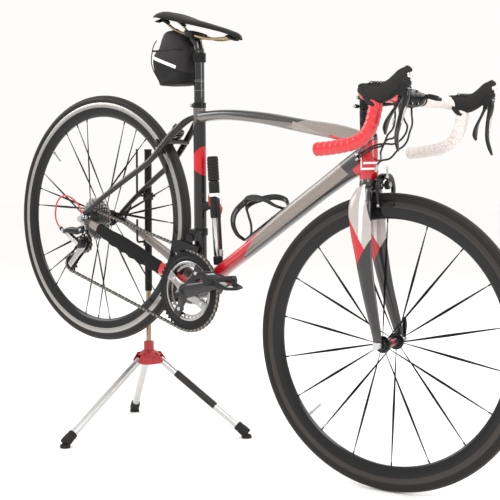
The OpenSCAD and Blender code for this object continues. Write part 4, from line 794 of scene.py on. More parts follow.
# Padded tape wound up from the bar ends with half its width overlapped: glossy red on the right,
# white and perforated on the left, each end closed by a pushed-in plug.
red_tape = surface("glossy_wrapped_tape", "#d3262f", "#b9161f", 1.2, 0.33, coat=0.45, bump=0.12,
                   pattern="voronoi")
white_tape = surface("perforated_white_tape", "#c4b8b1", "#ece7e4", 2.4, 0.62, bump=0.2, pattern="voronoi")
plug_black = surface("bar_end_plug", "#1a1a1a", "#262525", 1.0, 0.4)
for name, sign, tape_finish, plug_finish in (("right", 1, red_tape, red_tape),
                                             ("left", -1, white_tape, white_tape)):
    line = [(x, y * sign, z) for x, y, z in HALF[1:]]
    end = np.array(line[-1]) - np.array(line[-2])
    end = end / np.linalg.norm(end)
    parts = [(loft(line, 14.6, 14.6, at_bar, 48, across=(0, 0, 1), steps=12, relief=ridge(14, 1.7, sign)),
              tape_finish),
             (lathe([(0, 13.8), (2.2, 13.4), (3.6, 11), (4, 6), (4.2, 0.2)], np.array(line[-1]), at_bar, end,
                    40), plug_finish),
             (lathe([(0, 14), (0, 15.2), (8, 15.3), (8, 14)], (0, -60.0 * sign, 0), at_bar, (0, -sign, 0), 48,
                    ring=True), plug_black)]
    soft = piece("tape_wrap_" + name, parts, "tape_" + name, ["tape_" + name], angle=55)

# ---- brake and shift levers -----------------------------------------------------------------------
# Rubber hoods over a plastic body, with a forged lever, a shift paddle behind it and a chromed cap
# on the horn's front.
hood_rubber = surface("ribbed_hood_rubber", "#1d1c1c", "#2a2928", 0.8, 0.66, bump=0.07)
lever_black = surface("gloss_anodised_lever", "#121213", "#1c1c1d", 2.0, 0.22, metal=0.5, coat=0.5)
chrome = surface("chromed_plastic_cap", "#d9dadb", "#c4c5c7", 1.5, 0.12, metal=1.0, spread=0.04)
for name, side in (("right", -1), ("left", 1)):
    Y = 207 * side
    hood_line = [(0, Y, 5), (12, Y, 6), (28, Y, 5), (50, Y, 11), (68, Y, 25), (80, Y, 42), (89, Y, 57),
                 (95, Y, 70)]
    parts = [(loft(hood_line, [13, 16, 18, 18, 17, 16, 14, 8], [8, 16, 22, 20.5, 18, 16.5, 15, 8], at_bar, 40,
                   blunt=0.5, square=2.2), hood_rubber),
             (loft([(2, Y, 14), (14, Y, 2), (30, Y, -12), (44, Y, -18)], [17, 18, 18, 16.5], [8, 9, 9, 7],
                   at_bar, 32, blunt=0.4), hood_rubber),
             (loft([(86, Y, 38), (94, Y, 40), (101, Y, 38)], [12, 12, 10], [13, 14, 11], at_bar, 28,
                   blunt=0.5), moulded_black),
             (loft([(96, Y, 58), (101, Y, 57), (104.5, Y, 56)], [9, 8.4, 6], [8, 7.4, 5], at_bar, 32,
                   blunt=0.5), chrome),
             (rod((102, Y - 11, 28), (102, Y + 11, 28), 2.5, at_bar), polished_steel)]
    for dy in (-10.2, 10.2):
        parts.append((block((82, Y + dy - 1.2, 14), (106, Y + dy + 1.2, 36), at_bar, 1), moulded_black))
    for k in range(5):
        parts.append((loft([(20 + 7 * k, Y - 14, 20.5 + 1.5 * k), (20 + 7 * k, Y, 27.4 + 1.4 * k),
                            (20 + 7 * k, Y + 14, 20.5 + 1.5 * k)], 1.2, 1.0, at_bar, 8, across=(1, 0, 0)),
                      hood_rubber))
    piece("hood_cover_" + name, parts, "hood_" + name, ["hood_" + name], angle=50)
    s = side
    parts = [(loft([(101, Y, 31), (105, Y + s, 16), (106, Y + 3 * s, -4), (107, Y + 7 * s, -32),
                    (112, Y + 15 * s, -62), (122, Y + 21 * s, -82), (128, Y + 23 * s, -91)],
                   [8, 8.4, 8.4, 7.8, 6.8, 5.6, 3.4], [5.8, 6.5, 5.5, 4.2, 3.6, 3.2, 2], at_bar, 28,
                   blunt=0.5, square=2.6), lever_black),
             (rod((102, Y - 8, 28), (102, Y + 8, 28), 6.3, at_bar, 0.8), lever_black),
             (loft([(109.4, Y + 2 * s, 6), (111, Y + 5 * s, -14), (112.5, Y + 9 * s, -38)], [3.6, 4.2, 2.6],
                   [1.3, 1.3, 1.2], at_bar, 16), chrome),
             (rod((93, Y, 10), (106, Y, 10), 2, at_bar), zinc_steel)]
    piece("lever_blade_" + name, parts, "brake_lever_" + name, ["brake_lever_" + name])
    parts = [(loft([(92, Y - 0.5 * s, 8), (88, Y + s, -10), (83, Y + 4 * s, -26), (80, Y + 7 * s, -42),
                    (81, Y + 10 * s, -58), (85, Y + 12 * s, -67)], [4, 4, 5.6, 9.4, 9.4, 4],
                   [3.5, 3, 3, 3.2, 3.2, 2], at_bar, 24, blunt=0.5, square=2.6), lever_black),
             (rod((88, Y, 10), (96, Y, 10), 5, at_bar), lever_black)]
    piece("paddle_" + name, parts, "shift_lever_" + name, ["shift_lever_" + name])

# ---- wheels ------------------------------------------------------------------------------------
# Deep black clincher rims with a bare machined brake track, bladed black spokes and narrow folding
# tyres; cartridge hubs turn on axles held by quick-release skewers.
tread_rubber = surface("vulcanised_tyre_rubber", "#2e2b29", "#3b3734", 1.1, 0.66, bump=0.05, spread=0.1)
sidewall = surface("tyre_sidewall_rubber", "#1a1918", "#252322", 0.8, 0.5, bump=0.04)
rim_black = surface("black_anodised_rim", "#121213", "#1a1a1b", 2.0, 0.26, metal=0.4, coat=0.35, spread=0.06)
brake_track = surface("machined_brake_track", "#b3b0ad", "#8c8a87", 0.5, 0.34, metal=1.0, bump=0.01)
# The front wheel's brake track is drawn darker than the rear's.
darker_front_track = surface("darker_front_brake_track", "#4c4946", "#383533", 0.5, 0.34, metal=0.9, bump=0.01)
spoke_black = surface("black_bladed_spoke", "#161616", "#212121", 1.0, 0.3, metal=0.7)
hub_black = surface("anodised_hub_shell", "#161617", "#212122", 0.8, 0.24, metal=0.6, coat=0.3)
hub_red = surface("red_anodised_ring", "#a3121d", "#8a0e17", 0.8, 0.25, metal=0.7)
black_nipple = surface("black_nipple", "#1d1d1d", "#2a2a2a", 0.6, 0.3, metal=0.8)
valve_steel = surface("threaded_valve_stem", "#b9b9ba", "#8e8e90", 0.4, 0.28, metal=1.0)
MID, RIM = 323.5, 316.0
for wheel, place, valve in (("front", on_front, 237), ("rear", on_bike, 153)):
    casing = [(12.4 * math.sin(a), MID + 12.4 * math.cos(a)) for a in np.linspace(0.72, 2.1, 8)]
    crown = [(12.5 * math.sin(a), MID + 12.5 * math.cos(a)) for a in np.linspace(-0.72, 0.72, 13)]
    crown = [(x, r - (0.35 if abs(abs(x) - 5.2) < 0.9 else 0)) for x, r in crown]
    left = [(-x, r) for x, r in casing]
    origin = (0, 0, 0)
    tread = lathe(crown + [(6.5, RIM + 8), (-6.5, RIM + 8)], origin, place, (0, 1, 0), 180, ring=True)
    walls = [lathe(casing + [(8.8, RIM - 1), (7.6, RIM + 8)], origin, place, (0, 1, 0), 180, ring=True),
             lathe(left + [(-8.8, RIM - 1), (-7.6, RIM + 8)], origin, place, (0, 1, 0), 180, ring=True)]
    piece(wheel + "_tyre_rubber", [(tread, tread_rubber)] + [(w, sidewall) for w in walls], wheel + "_tyre",
          [wheel + "_tyre"], angle=50)
    body = [(10.0, 303.6), (8.9, 295), (7.2, 285.5), (5.4, 280.4), (2.8, 278), (-2.8, 278), (-5.4, 280.4),
            (-7.2, 285.5), (-8.9, 295), (-10.0, 303.6), (-8.2, 303.6), (-7.6, 296), (-5.6, 286.5), (-2, 281),
            (2, 281), (5.6, 286.5), (7.6, 296), (8.2, 303.6)]
    track = [[(s * 10.0, 303.4), (s * 10.3, 304.2), (s * 10.3, 315), (s * 9.9, 316.3), (s * 7.8, 316.3),
              (s * 7.8, 303.4)] for s in (1, -1)]
    parts = [(lathe(body, origin, place, (0, 1, 0), 180, ring=True), rim_black)]
    parts += [(lathe(t, origin, place, (0, 1, 0), 180, ring=True), darker_front_track if wheel == "front"
               else brake_track) for t in track]
    t = math.radians(valve)
    way = np.array([math.cos(t), 0, math.sin(t)])
    parts += [(rod(way * 235, way * 280, 2.5, place, 0.8), valve_steel),
              (rod(way * 268, way * 272, 4, place), valve_steel)]
    piece(wheel + "_rim_hoop", parts, wheel + "_rim", [wheel + "_rim"])
    parts = []
    if wheel == "front":
        spokes = [((17, 33 * (1 if k % 2 == 0 else -1), 0), (279, 1.5 * (1 if k % 2 == 0 else -1), 0),
                   6.5 + 20 * k) for k in range(18)]
    else:
        spokes = []
        for k in range(7):
            spokes.append(((20, 36, 0), (279, 1.5, 0), 24 + k * 360 / 7))
            for lead in (-1, 1):
                spokes.append(((7, -16 - 2.5 * lead, lead * 24), (279, -1.5 - 1.5 * lead, lead * 9),
                               24 + k * 360 / 7 - 12 * lead))
    for start, stop, degrees in spokes:
        t = math.radians(degrees)
        ends = []
        for x, y, z in (start, stop):
            ends.append(np.array([x * math.cos(t) - z * math.sin(t), y, x * math.sin(t) + z * math.cos(t)]))
        a, b = ends
        out = (b - a) / np.linalg.norm(b - a)
        parts.append((loft([a, a + 14 * out, a + 30 * out, b - 26 * out, b - 12 * out, b],
                           [1, 1, 0.75, 0.75, 1, 1], [1, 1, 1.5, 1.5, 1, 1], place, 8, steps=2), spoke_black))
        parts.append((rod(b - 9 * out, b, 1.9, place, 0.4, 8), black_nipple))
    piece(wheel + "_spoke_set", parts, wheel + "_spokes", [wheel + "_spokes"])
piece("front_hub_shell",
      [(lathe([(-44, 6.1), (-44, 9.6), (-43, 10.4), (-37, 13), (-35.4, 13), (-35, 19), (-31, 19),
               (-30.6, 12.4), (-26, 10), (0, 9.4), (26, 10), (30.6, 12.4), (31, 19), (35, 19), (35.4, 13),
               (37, 13), (43, 10.4), (44, 9.6), (44, 6.1)], (0, 0, 0), on_front, (0, 1, 0), 64, ring=True),
        hub_black),
       (lathe([(-8, 9.6), (-8, 10.1), (8, 10.1), (8, 9.6)], (0, 0, 0), on_front, (0, 1, 0), 64, ring=True),
        hub_red)], "front_hub", ["front_hub"])
piece("rear_hub_shell",
      [(lathe([(-18, 6.1), (-18, 27), (-14, 27), (-13.5, 16), (-8, 12.5), (10, 11.6), (30, 13), (33.6, 15),
               (34, 22), (38, 22), (38.4, 15.4), (52, 15), (58, 14), (59.6, 12), (60, 6.1)], (0, 0, 0),
              on_bike, (0, 1, 0), 64, ring=True), hub_black),
       (lathe([(6, 11.6), (6, 12.2), (20, 12.6), (20, 12)], (0, 0, 0), on_bike, (0, 1, 0), 64, ring=True),
        hub_red)], "rear_hub", ["rear_hub"])
dress(polished_steel, "front_skewer", "rear_skewer")
dress(lever_black, "front_release_lever", "rear_release_lever")

# ---- drive ---------------------------------------------------------------------------------------
# A nickel-plated cassette, a compact double chainset with a four-arm hollow crank, and a plated chain
# of pressed plates and rollers; the rings are machined and hard anodised.
nickel_cog = surface("nickel_plated_steel_cog", "#b4b3b1", "#8d8c8b", 0.8, 0.3, metal=1.0, bump=0.01)
hard_black = surface("hard_anodised_chainring", "#1b1b1c", "#2a2a2b", 0.7, 0.34, metal=0.6)
# Silver for the machined ring faces and the lockring; also used as a painted highlight on two spider arms.
silver_ring_and_arm_highlight = surface("machined_ring_web_and_arm_highlight", "#b0afae", "#8c8b8a", 0.6, 0.28, metal=1.0)
crank_grey = surface("brushed_grey_anodised_crank", "#29292b", "#3a3a3c", 0.7, 0.28, metal=0.7, coat=0.3,
                     stretch=(1, 1, 0.4))
chain_plate = surface("oiled_steel_chain", "#77736d", "#4a4642", 0.7, 0.34, metal=1.0)
PITCH = 12.7
CHAIN_Y = -46.8


def pitch_r(teeth):
    """Pitch radius of a sprocket."""
    return PITCH / 2 / math.sin(math.pi / teeth)


def toothed(teeth, y0, y1, centre, hole):
    """A sprocket's rim: rounded teeth outside, a plain ring wall inside."""
    outer, n = [], teeth * 6
    for i in range(teeth):
        for f, r in ((0, -3.4), (0.2, -3.2), (0.36, 0.6), (0.46, 2.4), (0.54, 2.4), (0.66, 0.6)):
            a = 2 * math.pi * (i + f) / teeth
            outer.append(((pitch_r(teeth) + r) * math.cos(a), (pitch_r(teeth) + r) * math.sin(a)))
    inner = [(hole * math.cos(2 * math.pi * k / n), hole * math.sin(2 * math.pi * k / n))
             for k in range(n)]
    verts = [(x + centre[0], y, z + centre[2]) for y in (y0, y1) for x, z in outer]
    verts += [(x + centre[0], y, z + centre[2]) for y in (y0, y1) for x, z in inner]
    faces = []
    for k in range(n):
        q = (k + 1) % n
        faces += [(k, q, n + q, n + k), (2 * n + k, 3 * n + k, 3 * n + q, 2 * n + q),
                  (k, 2 * n + k, 2 * n + q, q), (n + k, n + q, 3 * n + q, 3 * n + k)]
    return on_bike(np.array(verts)), faces, [[(0, 0)] * 4] * len(faces)


parts = []
for k, teeth in enumerate([11, 12, 13, 14, 15, 17, 19, 21, 23, 25, 28]):
    y = CHAIN_Y - 11.25 + k * 3.75
    parts.append((toothed(teeth, y - 0.8, y + 0.8, (0, 0, 0), pitch_r(teeth) - 9 if teeth > 14 else 12),
                  nickel_cog))
parts.append((lathe([(-60.5, 6.2), (-60.5, 13), (-60, 15), (-58, 15), (-57.5, 13.5), (-57, 17), (-18.8, 17),
                     (-18.8, 6.2)], (0, 0, 0), on_bike, (0, 1, 0), 48, ring=True), bearing_cup))
parts.append((lathe([(-60.8, 13.2), (-60.8, 15.6), (-58.6, 15.6), (-58.6, 13.2)], (0, 0, 0), on_bike,
                    (0, 1, 0), 24, ring=True), silver_ring_and_arm_highlight))
piece("cassette_cogs", parts, "cassette", ["cassette"])
arm_angles = [28 + 45 + 90 * i for i in range(4)]
parts = [(toothed(50, CHAIN_Y - 1.1, CHAIN_Y + 1.1, BB, pitch_r(50) - 15), hard_black),
         (lathe([(CHAIN_Y - 1.9, 76.5), (CHAIN_Y - 1.9, 85), (CHAIN_Y - 1.1, 86.4), (CHAIN_Y + 1.1, 86.4),
                 (CHAIN_Y + 1.1, 74.5), (CHAIN_Y - 1.1, 74.5)], BB, on_bike, (0, 1, 0), 120, ring=True),
          hard_black),
         (lathe([(CHAIN_Y - 2.6, 70), (CHAIN_Y - 2.6, 74.4), (CHAIN_Y - 1.8, 75.8), (CHAIN_Y + 1.1, 75.8),
                 (CHAIN_Y + 1.1, 69)], BB, on_bike, (0, 1, 0), 120, ring=True), silver_ring_and_arm_highlight),
         (toothed(34, CHAIN_Y + 5.1, CHAIN_Y + 7.3, BB, pitch_r(34) - 8), silver_ring_and_arm_highlight)]
for degrees in arm_angles:
    t = math.radians(degrees)
    out = np.array([math.cos(t), 0, math.sin(t)])
    bolt = BB + 55 * out
    parts.append((rod(bolt + [0, CHAIN_Y - 1.6, 0], bolt + [0, CHAIN_Y + 7.4, 0], 7, on_bike), hard_black))
    parts.append((loft([BB + 46 * out + [0, CHAIN_Y, 0], BB + 60 * out + [0, CHAIN_Y, 0],
                        BB + 74 * out + [0, CHAIN_Y, 0]], [1.1, 1.1, 1.1], [8, 9, 17], on_bike, 20, square=4),
                  hard_black))
piece("chainring_pair", parts, "chainrings", ["chainrings"])
# Spider arms: the two at 163° and 343° take the silver finish as a painted highlight; the other two keep the
# crank's grey.
parts = []
for degrees in arm_angles:
    t = math.radians(degrees)
    out = np.array([math.cos(t), 0, math.sin(t)])
    parts.append((loft([BB + 8 * out + [0, -55, 0], BB + 30 * out + [0, -53.6, 0],
                        BB + 50 * out + [0, -50.6, 0], BB + 74 * out + [0, -50.2, 0]], [5, 4.6, 3, 2.2],
                       [17, 12.5, 10, 13], on_bike, 28, square=3, blunt=0.4), silver_ring_and_arm_highlight
                  if degrees % 180 > 90 else crank_grey))
    parts.append((rod(BB + 55 * out + [0, -53.8, 0], BB + 55 * out + [0, -49, 0], 5, on_bike),
                  polished_steel))
crank_lines = {}
for name, side, degrees in (("right", -1, 28), ("left", 1, 208)):
    t = math.radians(degrees)
    tip = 172.5 * np.array([math.cos(t), 0, math.sin(t)])
    arm = [(loft([BB + tip * f + [0, side * y, 0] for f,
                  y in ((-0.06, 57), (0.08, 58.5), (0.3, 62), (0.6, 66.5), (0.9, 69.5), (1.06, 69.5))],
                 [7, 7.5, 7, 6.4, 6.2, 5.4], [15, 18, 15.5, 13.5, 13.5, 10], on_bike, 36, square=2.7,
                 blunt=0.7), crank_grey),
           (rod(BB + [0, side * 50, 0], BB + [0, side * 64.4, 0], 19, on_bike, 1.2, 48), crank_grey),
           (lathe([(0, 8.5), (0.9, 8.5), (1.4, 7.6), (0.6, 5.4), (0.6, 0.2)], BB + [0, side * 64.3, 0],
                  on_bike, (0, side, 0), 40), bearing_cup),
           (rod(BB + tip + [0, side * 74, 0], BB + tip + [0, side * 162, 0], 4.5, on_bike), polished_steel),
           (rod(BB + tip + [0, side * 63, 0], BB + tip + [0, side * 76, 0], 10.5, on_bike, 1, 32),
            crank_grey)]
    crank_lines[name] = arm
parts += crank_lines["right"] + [(rod(BB + [0, -51, 0], BB + [0, 62, 0], 12, on_bike), bare_alloy)]
piece("crank_spider_right", parts, "crank_right", ["crank_right"])
piece("crank_arm_left", crank_lines["left"], "crank_left", ["crank_left"])

# Clipless pedals: a moulded composite body with a steel plate and a sprung rear jaw.
composite = surface("glass_filled_nylon", "#19191a", "#2a2a2b", 0.9, 0.46, bump=0.06)
pedal_red = surface("red_moulded_accent", "#a81420", "#8d0e18", 1.0, 0.4)
pedal_silver = surface("cast_silver_pedal_body", "#b9b8b6", "#939291", 0.8, 0.36, metal=0.9, bump=0.02)
CRANK_LEN = 172.5
for name, side, degrees in (("right", -1, 28), ("left", 1, 208)):
    t = math.radians(degrees)
    hub_at = BB + CRANK_LEN * np.array([math.cos(t), 0, math.sin(t)])
    main = composite if side < 0 else pedal_silver

    def at(x, y, z):
        """A point of this pedal from its crank end, y away from the bicycle."""
        return hub_at + [x, side * y, z]

    parts = [(lathe([(77.5, 9), (79, 10), (100, 11), (118, 11.5), (140, 11), (162, 10), (164, 8.6)], hub_at,
                    on_bike, (0, side, 0), 40), main)]
    for y in (92, 144):
        parts.append((loft([at(-40, y, 2), at(-20, y, 2), at(10, y, 1), at(34, y, 0), at(52, y, 1)],
                           [4, 5.5, 5.5, 4.5, 3.4], [5, 7.5, 8, 6, 3.4], on_bike, 20, square=2.8, blunt=0.6),
                      main))
    parts += [(loft([at(50, 92, 1), at(56, 118, 1), at(50, 144, 1)], [5, 5, 5], [3.6, 3.8, 3.6], on_bike, 20,
                    across=(1, 0, 0), blunt=0.4), main),
              (loft([at(-42, 90, 3), at(-46, 118, 5), at(-42, 146, 3)], [6, 7, 6], [5, 6.5, 5], on_bike, 20,
                    across=(1, 0, 0), blunt=0.4, square=3), main),
              (block(at(-18, 118, 0) - [22, 20, 9], at(-18, 118, 0) + [22, 20, 9], on_bike, 3), main),
              (block(at(12, 118, 0) - [20, 22, 4], at(12, 118, 0) + [20, 22, 4], on_bike, 2), polished_steel),
              (block(at(-34, 118, -7) - [9, 16, 3], at(-34, 118, -7) + [9, 16, 3], on_bike, 1.6),
               pedal_red if side < 0 else main)]
    for k in range(7):
        parts.append((lathe([(-13 + 4 * k, 5.4), (-12 + 4 * k, 6.6), (-11 + 4 * k, 5.4)], at(-30, 118, 4),
                            on_bike, (0, 1, 0), 20), zinc_steel))
    piece("pedal_body_" + name, parts, "pedal_" + name, ["pedal_" + name])

# The chain runs round sprocket, ring and the two pulleys: alternate inner and outer links.
GUIDE, TENSION = np.array([2.0, 0, -70]), np.array([-38.0, 0, -138])
stations = [((0, 0), pitch_r(14), -1), ((BB[0], BB[2]), pitch_r(50), -1),
            ((TENSION[0], TENSION[2]), pitch_r(11), -1), ((GUIDE[0], GUIDE[2]), pitch_r(11), 1)]


def run_angle(i, j):
    """The direction of the straight run between two toothed wheels."""
    (a, ra, sa), (b, rb, sb) = stations[i], stations[j]
    d = np.subtract(b, a)
    return math.atan2(d[1], d[0]) - math.asin((sb * rb - sa * ra) / np.linalg.norm(d))


path = []
for j in range(4):
    came, left = run_angle((j + 3) % 4, j), run_angle(j, (j + 1) % 4)
    (cx, cz), r, s = stations[j]
    turn = s * ((s * (left - came)) % (2 * math.pi))
    for k in range(25):
        a = came + turn * k / 24
        path.append((cx + s * r * math.sin(a), cz - s * r * math.cos(a)))
path = np.array(path + [path[0]])
steps_along = np.concatenate([[0], np.cumsum(np.linalg.norm(np.diff(path, axis=0), axis=1))])
links = 2 * round(steps_along[-1] / PITCH / 2)
joints = np.column_stack([np.interp(np.linspace(0, steps_along[-1], links + 1), steps_along, path[:, k])
                          for k in (0, 1)])
outline = [(-4.1, 0), (-3.1, 2.7), (0, 3.9), (3.6, 3.0), (6.35, 2.6), (9.1, 3.0), (12.7, 3.9), (15.8, 2.7),
           (16.8, 0)]
outline += [(x, -z) for x, z in outline[-2:0:-1]]
parts = []
for k in range(links):
    a, b = joints[k], joints[k + 1]
    d = (b - a) / np.linalg.norm(b - a)
    shape = [(a[0] + x * d[0] - z * d[1], a[1] + x * d[1] + z * d[0]) for x, z in outline]
    near = 1.5 if k % 2 else 2.55
    for side in (-1, 1):
        parts.append((slab(shape, CHAIN_Y + side * near, CHAIN_Y + side * (near + 0.95), on_bike, 0),
                      chain_plate))
    parts.append((lathe([(-2.4, 3.6), (2.4, 3.6)], (a[0], CHAIN_Y, a[1]), on_bike, (0, 1, 0), 10),
                  chain_plate))
    if k % 2:
        for x, z in (a, b):
            parts.append((lathe([(-3.9, 1.5), (-3.7, 1.9), (3.7, 1.9), (3.9, 1.5)], (x, CHAIN_Y, z), on_bike,
                                (0, 1, 0), 8), nickel_cog))
piece("chain_links", parts, "chain", ["chain"])

# ---- derailleurs -----------------------------------------------------------------------------
# The front cage swings on a linkage clamped to the seat tube; the rear one hangs from the dropout on
# a sprung parallelogram with two jockey wheels in a silver cage, its cable in a red outer.
mech_black = surface("painted_mech_casting", "#161617", "#242425", 0.9, 0.32, metal=0.5, coat=0.3)
mech_silver = surface("stamped_silver_cage", "#c9c8c6", "#a3a2a1", 0.8, 0.26, metal=1.0)
red_housing = surface("red_cable_outer", "#cf3a34", "#b82b27", 1.2, 0.4)
delrin = surface("moulded_jockey_wheel", "#19191a", "#262627", 0.7, 0.42)
Y = -71.0
dress(mech_black, "front_derailleur")
parts = [(rod((8, -64.5, -28), (8, Y - 12, -28), 3.9, on_bike), polished_steel),
         (lathe([(0, 9), (1, 10.4), (9, 10), (11, 8), (11.4, 5), (10.4, 3.4), (10.4, 0.2)], (8, Y - 0.3, -28),
                on_bike, (0, -1, 0), 40), mech_black),
         (loft([(8, Y - 6, -28), (-6, Y - 7, -36), (-26, Y - 7, -40), (-48, Y - 7, -49), (-60, Y - 6, -54)],
               [5.5, 6, 6.5, 5.5, 4], [9, 10, 9.5, 8, 5], on_bike, 28, square=2.5, blunt=0.6), mech_black),
         (loft([(-40, Y - 3, -52), (-28, Y - 2, -60), (-12, Y + 5, -68), (0, Y + 9, -72)], [5.5, 6, 6, 5],
               [7, 8, 8, 7], on_bike, 24, square=2.6, blunt=0.4), mech_black),
         (loft([(-46, Y - 10, -47), (-34, Y - 10.4, -56), (-18, Y - 4, -66), (-2, Y + 3, -74)],
               [2, 2.4, 2.4, 2], [5, 6, 6, 5], on_bike, 20, square=3, blunt=0.4), mech_silver),
         (lathe([(-55.2, 11.6), (-56.4, 13), (-69, 13), (-70.4, 11), (-70.8, 5), (-70, 0.2)],
                (GUIDE[0], 0, GUIDE[2]), on_bike, (0, 1, 0), 40), mech_black),
         (rod((-56, Y - 6, -53), (-78, Y - 6, -47), 4.6, on_bike, 1), zinc_steel),
         (rod((-66, Y - 6, -50.4), (-74, Y - 6, -48), 5.4, on_bike, 1), mech_black),
         (loft([(4, Y - 3.5, 12), (-13, Y - 5, 29), (-28, Y - 6, 38), (-45, Y - 7, 44), (-64, Y - 8, 46),
                (-82, Y - 8, 42), (-96, Y - 8, 31), (-104, Y - 8, 16), (-106, Y - 7, -2), (-104, Y - 7, -18),
                (-98, Y - 6, -32), (-89, Y - 6, -41), (-77.5, Y - 6, -47)], 2.2, 2.2, on_bike, 14),
          red_housing), (rod((8, Y - 3, 6.5), (1, Y - 4, 15), 3, on_bike), zinc_steel)]
piece("rear_mech", parts, "rear_derailleur", ["rear_derailleur"])
parts = []
for side in (-1, 1):
    y = CHAIN_Y + side * 6.0
    parts.append((loft([GUIDE + [3, y, 9], GUIDE + [-2, y, -4], (GUIDE + TENSION) / 2 + [3, y, 0],
                        TENSION + [-2, y, -8]], 0.8, [9, 12, 9, 8], on_bike, 24, square=3, blunt=0.3),
                  mech_silver if side < 0 else mech_black))
    for c in (GUIDE, TENSION):
        parts.append((rod(c + [0, y, 0], c + [0, y + side * 1.8, 0], 4.4, on_bike), zinc_steel))
for c in (GUIDE, TENSION):
    parts.append((rod(c + [0, CHAIN_Y - 6.8, 0], c + [0, CHAIN_Y + 6.8, 0], 3, on_bike), zinc_steel))
piece("mech_cage", parts, "derailleur_cage", ["derailleur_cage"])
for name, c in (("guide_pulley", GUIDE), ("tension_pulley", TENSION)):
    piece(name + "_wheel",
          [(toothed(11, CHAIN_Y - 1.1, CHAIN_Y + 1.1, c, 9), delrin),
           (lathe([(-1.6, 3.2), (-1.6, 9.4), (1.6, 9.4), (1.6, 3.2)], c + [0, CHAIN_Y, 0], on_bike, (0, 1, 0),
                  32, ring=True), delrin)], name, [name])

# ---- brakes ----------------------------------------------------------------------------------
# Dual-pivot calipers forged and painted black, with rubber blocks in slotted holders, a barrel
# adjuster and a small release lever on the cable arm.
pad_rubber = surface("moulded_brake_block", "#2a2828", "#383535", 0.8, 0.75, bump=0.05)
for name, place, out, flip in (("front", at_front_brake, -11, 1), ("rear", at_rear_brake, 10, -1)):
    for side_name, side, layer in (("right", -flip, 0), ("left", flip, 1)):
        x = out + layer * 9.5 + 4.25
        pivot = side * 17 if layer == 0 else 0
        pad_x = out + layer * 9.5 + (10 if layer == 0 else -2)
        parts = [(loft([(x, -side * 12, 373), (x, 0, 372), (x, side * 18, 365), (x, side * 28, 348),
                        (x, side * 27, 328), (x, side * 23, 306)], [4.2, 4.2, 4.2, 4.2, 4, 3.6],
                       [5, 8, 10, 7.5, 6, 6.5], place, 28, across=(1, 0, 0), square=2.8, blunt=0.5),
                  mech_black),
                 (rod((x - 4.2, pivot, 353), (x + 4.2, pivot, 353), 10, place, 0.8, 36), mech_black),
                 (loft([(x, pivot, 353), (x, pivot + side * 8, 362), (x, side * 22, 366)], 4, 8, place, 24,
                       across=(1, 0, 0), square=2.6), mech_black),
                 (block((pad_x - 23, side * 16.8 - 4.4, 303.6), (pad_x + 23, side * 16.8 + 0.2 * side, 312.4),
                        place, 1.4) if side > 0
                  else block((pad_x - 23, side * 16.8 - 0.2, 303.6), (pad_x + 23, side * 16.8 + 4.4, 312.4),
                             place, 1.4), pad_rubber),
                 (block((pad_x - 21, min(side * 16.4, side * 20.4), 302.6),
                        (pad_x + 21, max(side * 16.4, side * 20.4), 313.4), place, 1.4), mech_black),
                 (rod((x, side * 19, 308), (x, side * 31, 308), 3.2, place), polished_steel)]
        if layer == 0:
            parts += [(rod((x + 4, side * 17, 353), (x + 6, side * 17, 353), 4.6, place), polished_steel)]
        else:
            parts += [(rod((x + 3.6, -side * 25 + side * 13, 371), (x + 8, -side * 12, 371), 4.4, place),
                       polished_steel),
                      (loft([(x + 6, -side * 12, 372), (x + 8, -side * 16, 384), (x + 8, -side * 16, 394)],
                            1.8, 4, place, 16, across=(1, 0, 0)), mech_silver)]
        node = f"{name}_brake_arm_{side_name}"
        piece(node + "_forging", parts, node, [node])

# ---- bottle cage and pump --------------------------------------------------------------------------
# A moulded cage of two curled arms bolted to the down tube; a mini pump clipped behind it, with a
# black handle, silver barrel, hose, strap and red lever.
cage_black = surface("moulded_cage_composite", "#131314", "#1f1f20", 1.2, 0.3, coat=0.3)
pump_silver = surface("polished_pump_barrel", "#d2d1d0", "#b4b3b2", 0.8, 0.16, metal=1.0)
strap_white = surface("printed_white_strap", "#e5e3e0", "#cfccc8", 1.4, 0.5)
lever_red = surface("translucent_red_lever", "#9a1c1f", "#7f1519", 1.4, 0.3, coat=0.5)
hose_black = surface("rubber_hose", "#171717", "#232222", 0.8, 0.55, bump=0.04)


def on_tube(p):
    """A point on the down tube's upper side: X along it from the crank, Z square to it."""
    p = np.atleast_2d(np.asarray(p, float))
    return on_bike(BB
                   + np.outer(p[:, 0], down_run) + np.outer(p[:, 1], (0, 1, 0)) + np.outer(p[:, 2] + 27,
                                                                                           down_up))


parts = [(block((196, -9, 0.6), (354, 9, 4), on_tube, 1.6), cage_black)]
for x in (240, 304):
    parts.append((lathe([(0, 4.6), (2.4, 4.6), (3, 3.8), (1.6, 2.2), (1.6, 0.2)], (x, 0, 4), on_tube,
                        (0, 0, 1), 24), polished_steel))
for side in (-1, 1):
    parts.append((loft([(347, side * 4, 2.5), (342, side * 24, 14), (334, side * 37, 34),
                        (315, side * 37, 54), (284, side * 30, 70), (254, side * 14, 76),
                        (234, side * 15, 75), (219, side * 27, 62), (210, side * 33, 42),
                        (203, side * 26, 18), (200, side * 6, 3)], [3.4, 4.4, 6, 7.5, 8, 8, 7.5, 7, 6, 5, 4],
                       [3, 3, 3, 3, 3, 3, 3, 3, 3, 3, 3], on_tube, 20, across=(1, 0, 0), steps=8),
                  cage_black))
parts.append((loft([(250, -16, 76), (246, 0, 79), (250, 16, 76)], [9, 10, 9], [2.6, 2.6, 2.6], on_tube, 20,
                   across=(1, 0, 0)), cage_black))
piece("cage_arms", parts, "bottle_cage", ["bottle_cage"])
PUMP_LOW = np.array([448.0, 0, 10])
PUMP_UP = np.array([357.0, 0, 268]) - PUMP_LOW
PUMP_LEN = np.linalg.norm(PUMP_UP)
PUMP_UP = PUMP_UP / PUMP_LEN
PUMP_OUT = np.array([PUMP_UP[2], 0, -PUMP_UP[0]])


def up(s, x=0, y=0):
    """A point along the pump from its foot, x out from its axis and y across."""
    return PUMP_LOW + s * PUMP_UP + x * PUMP_OUT + [0, y, 0]


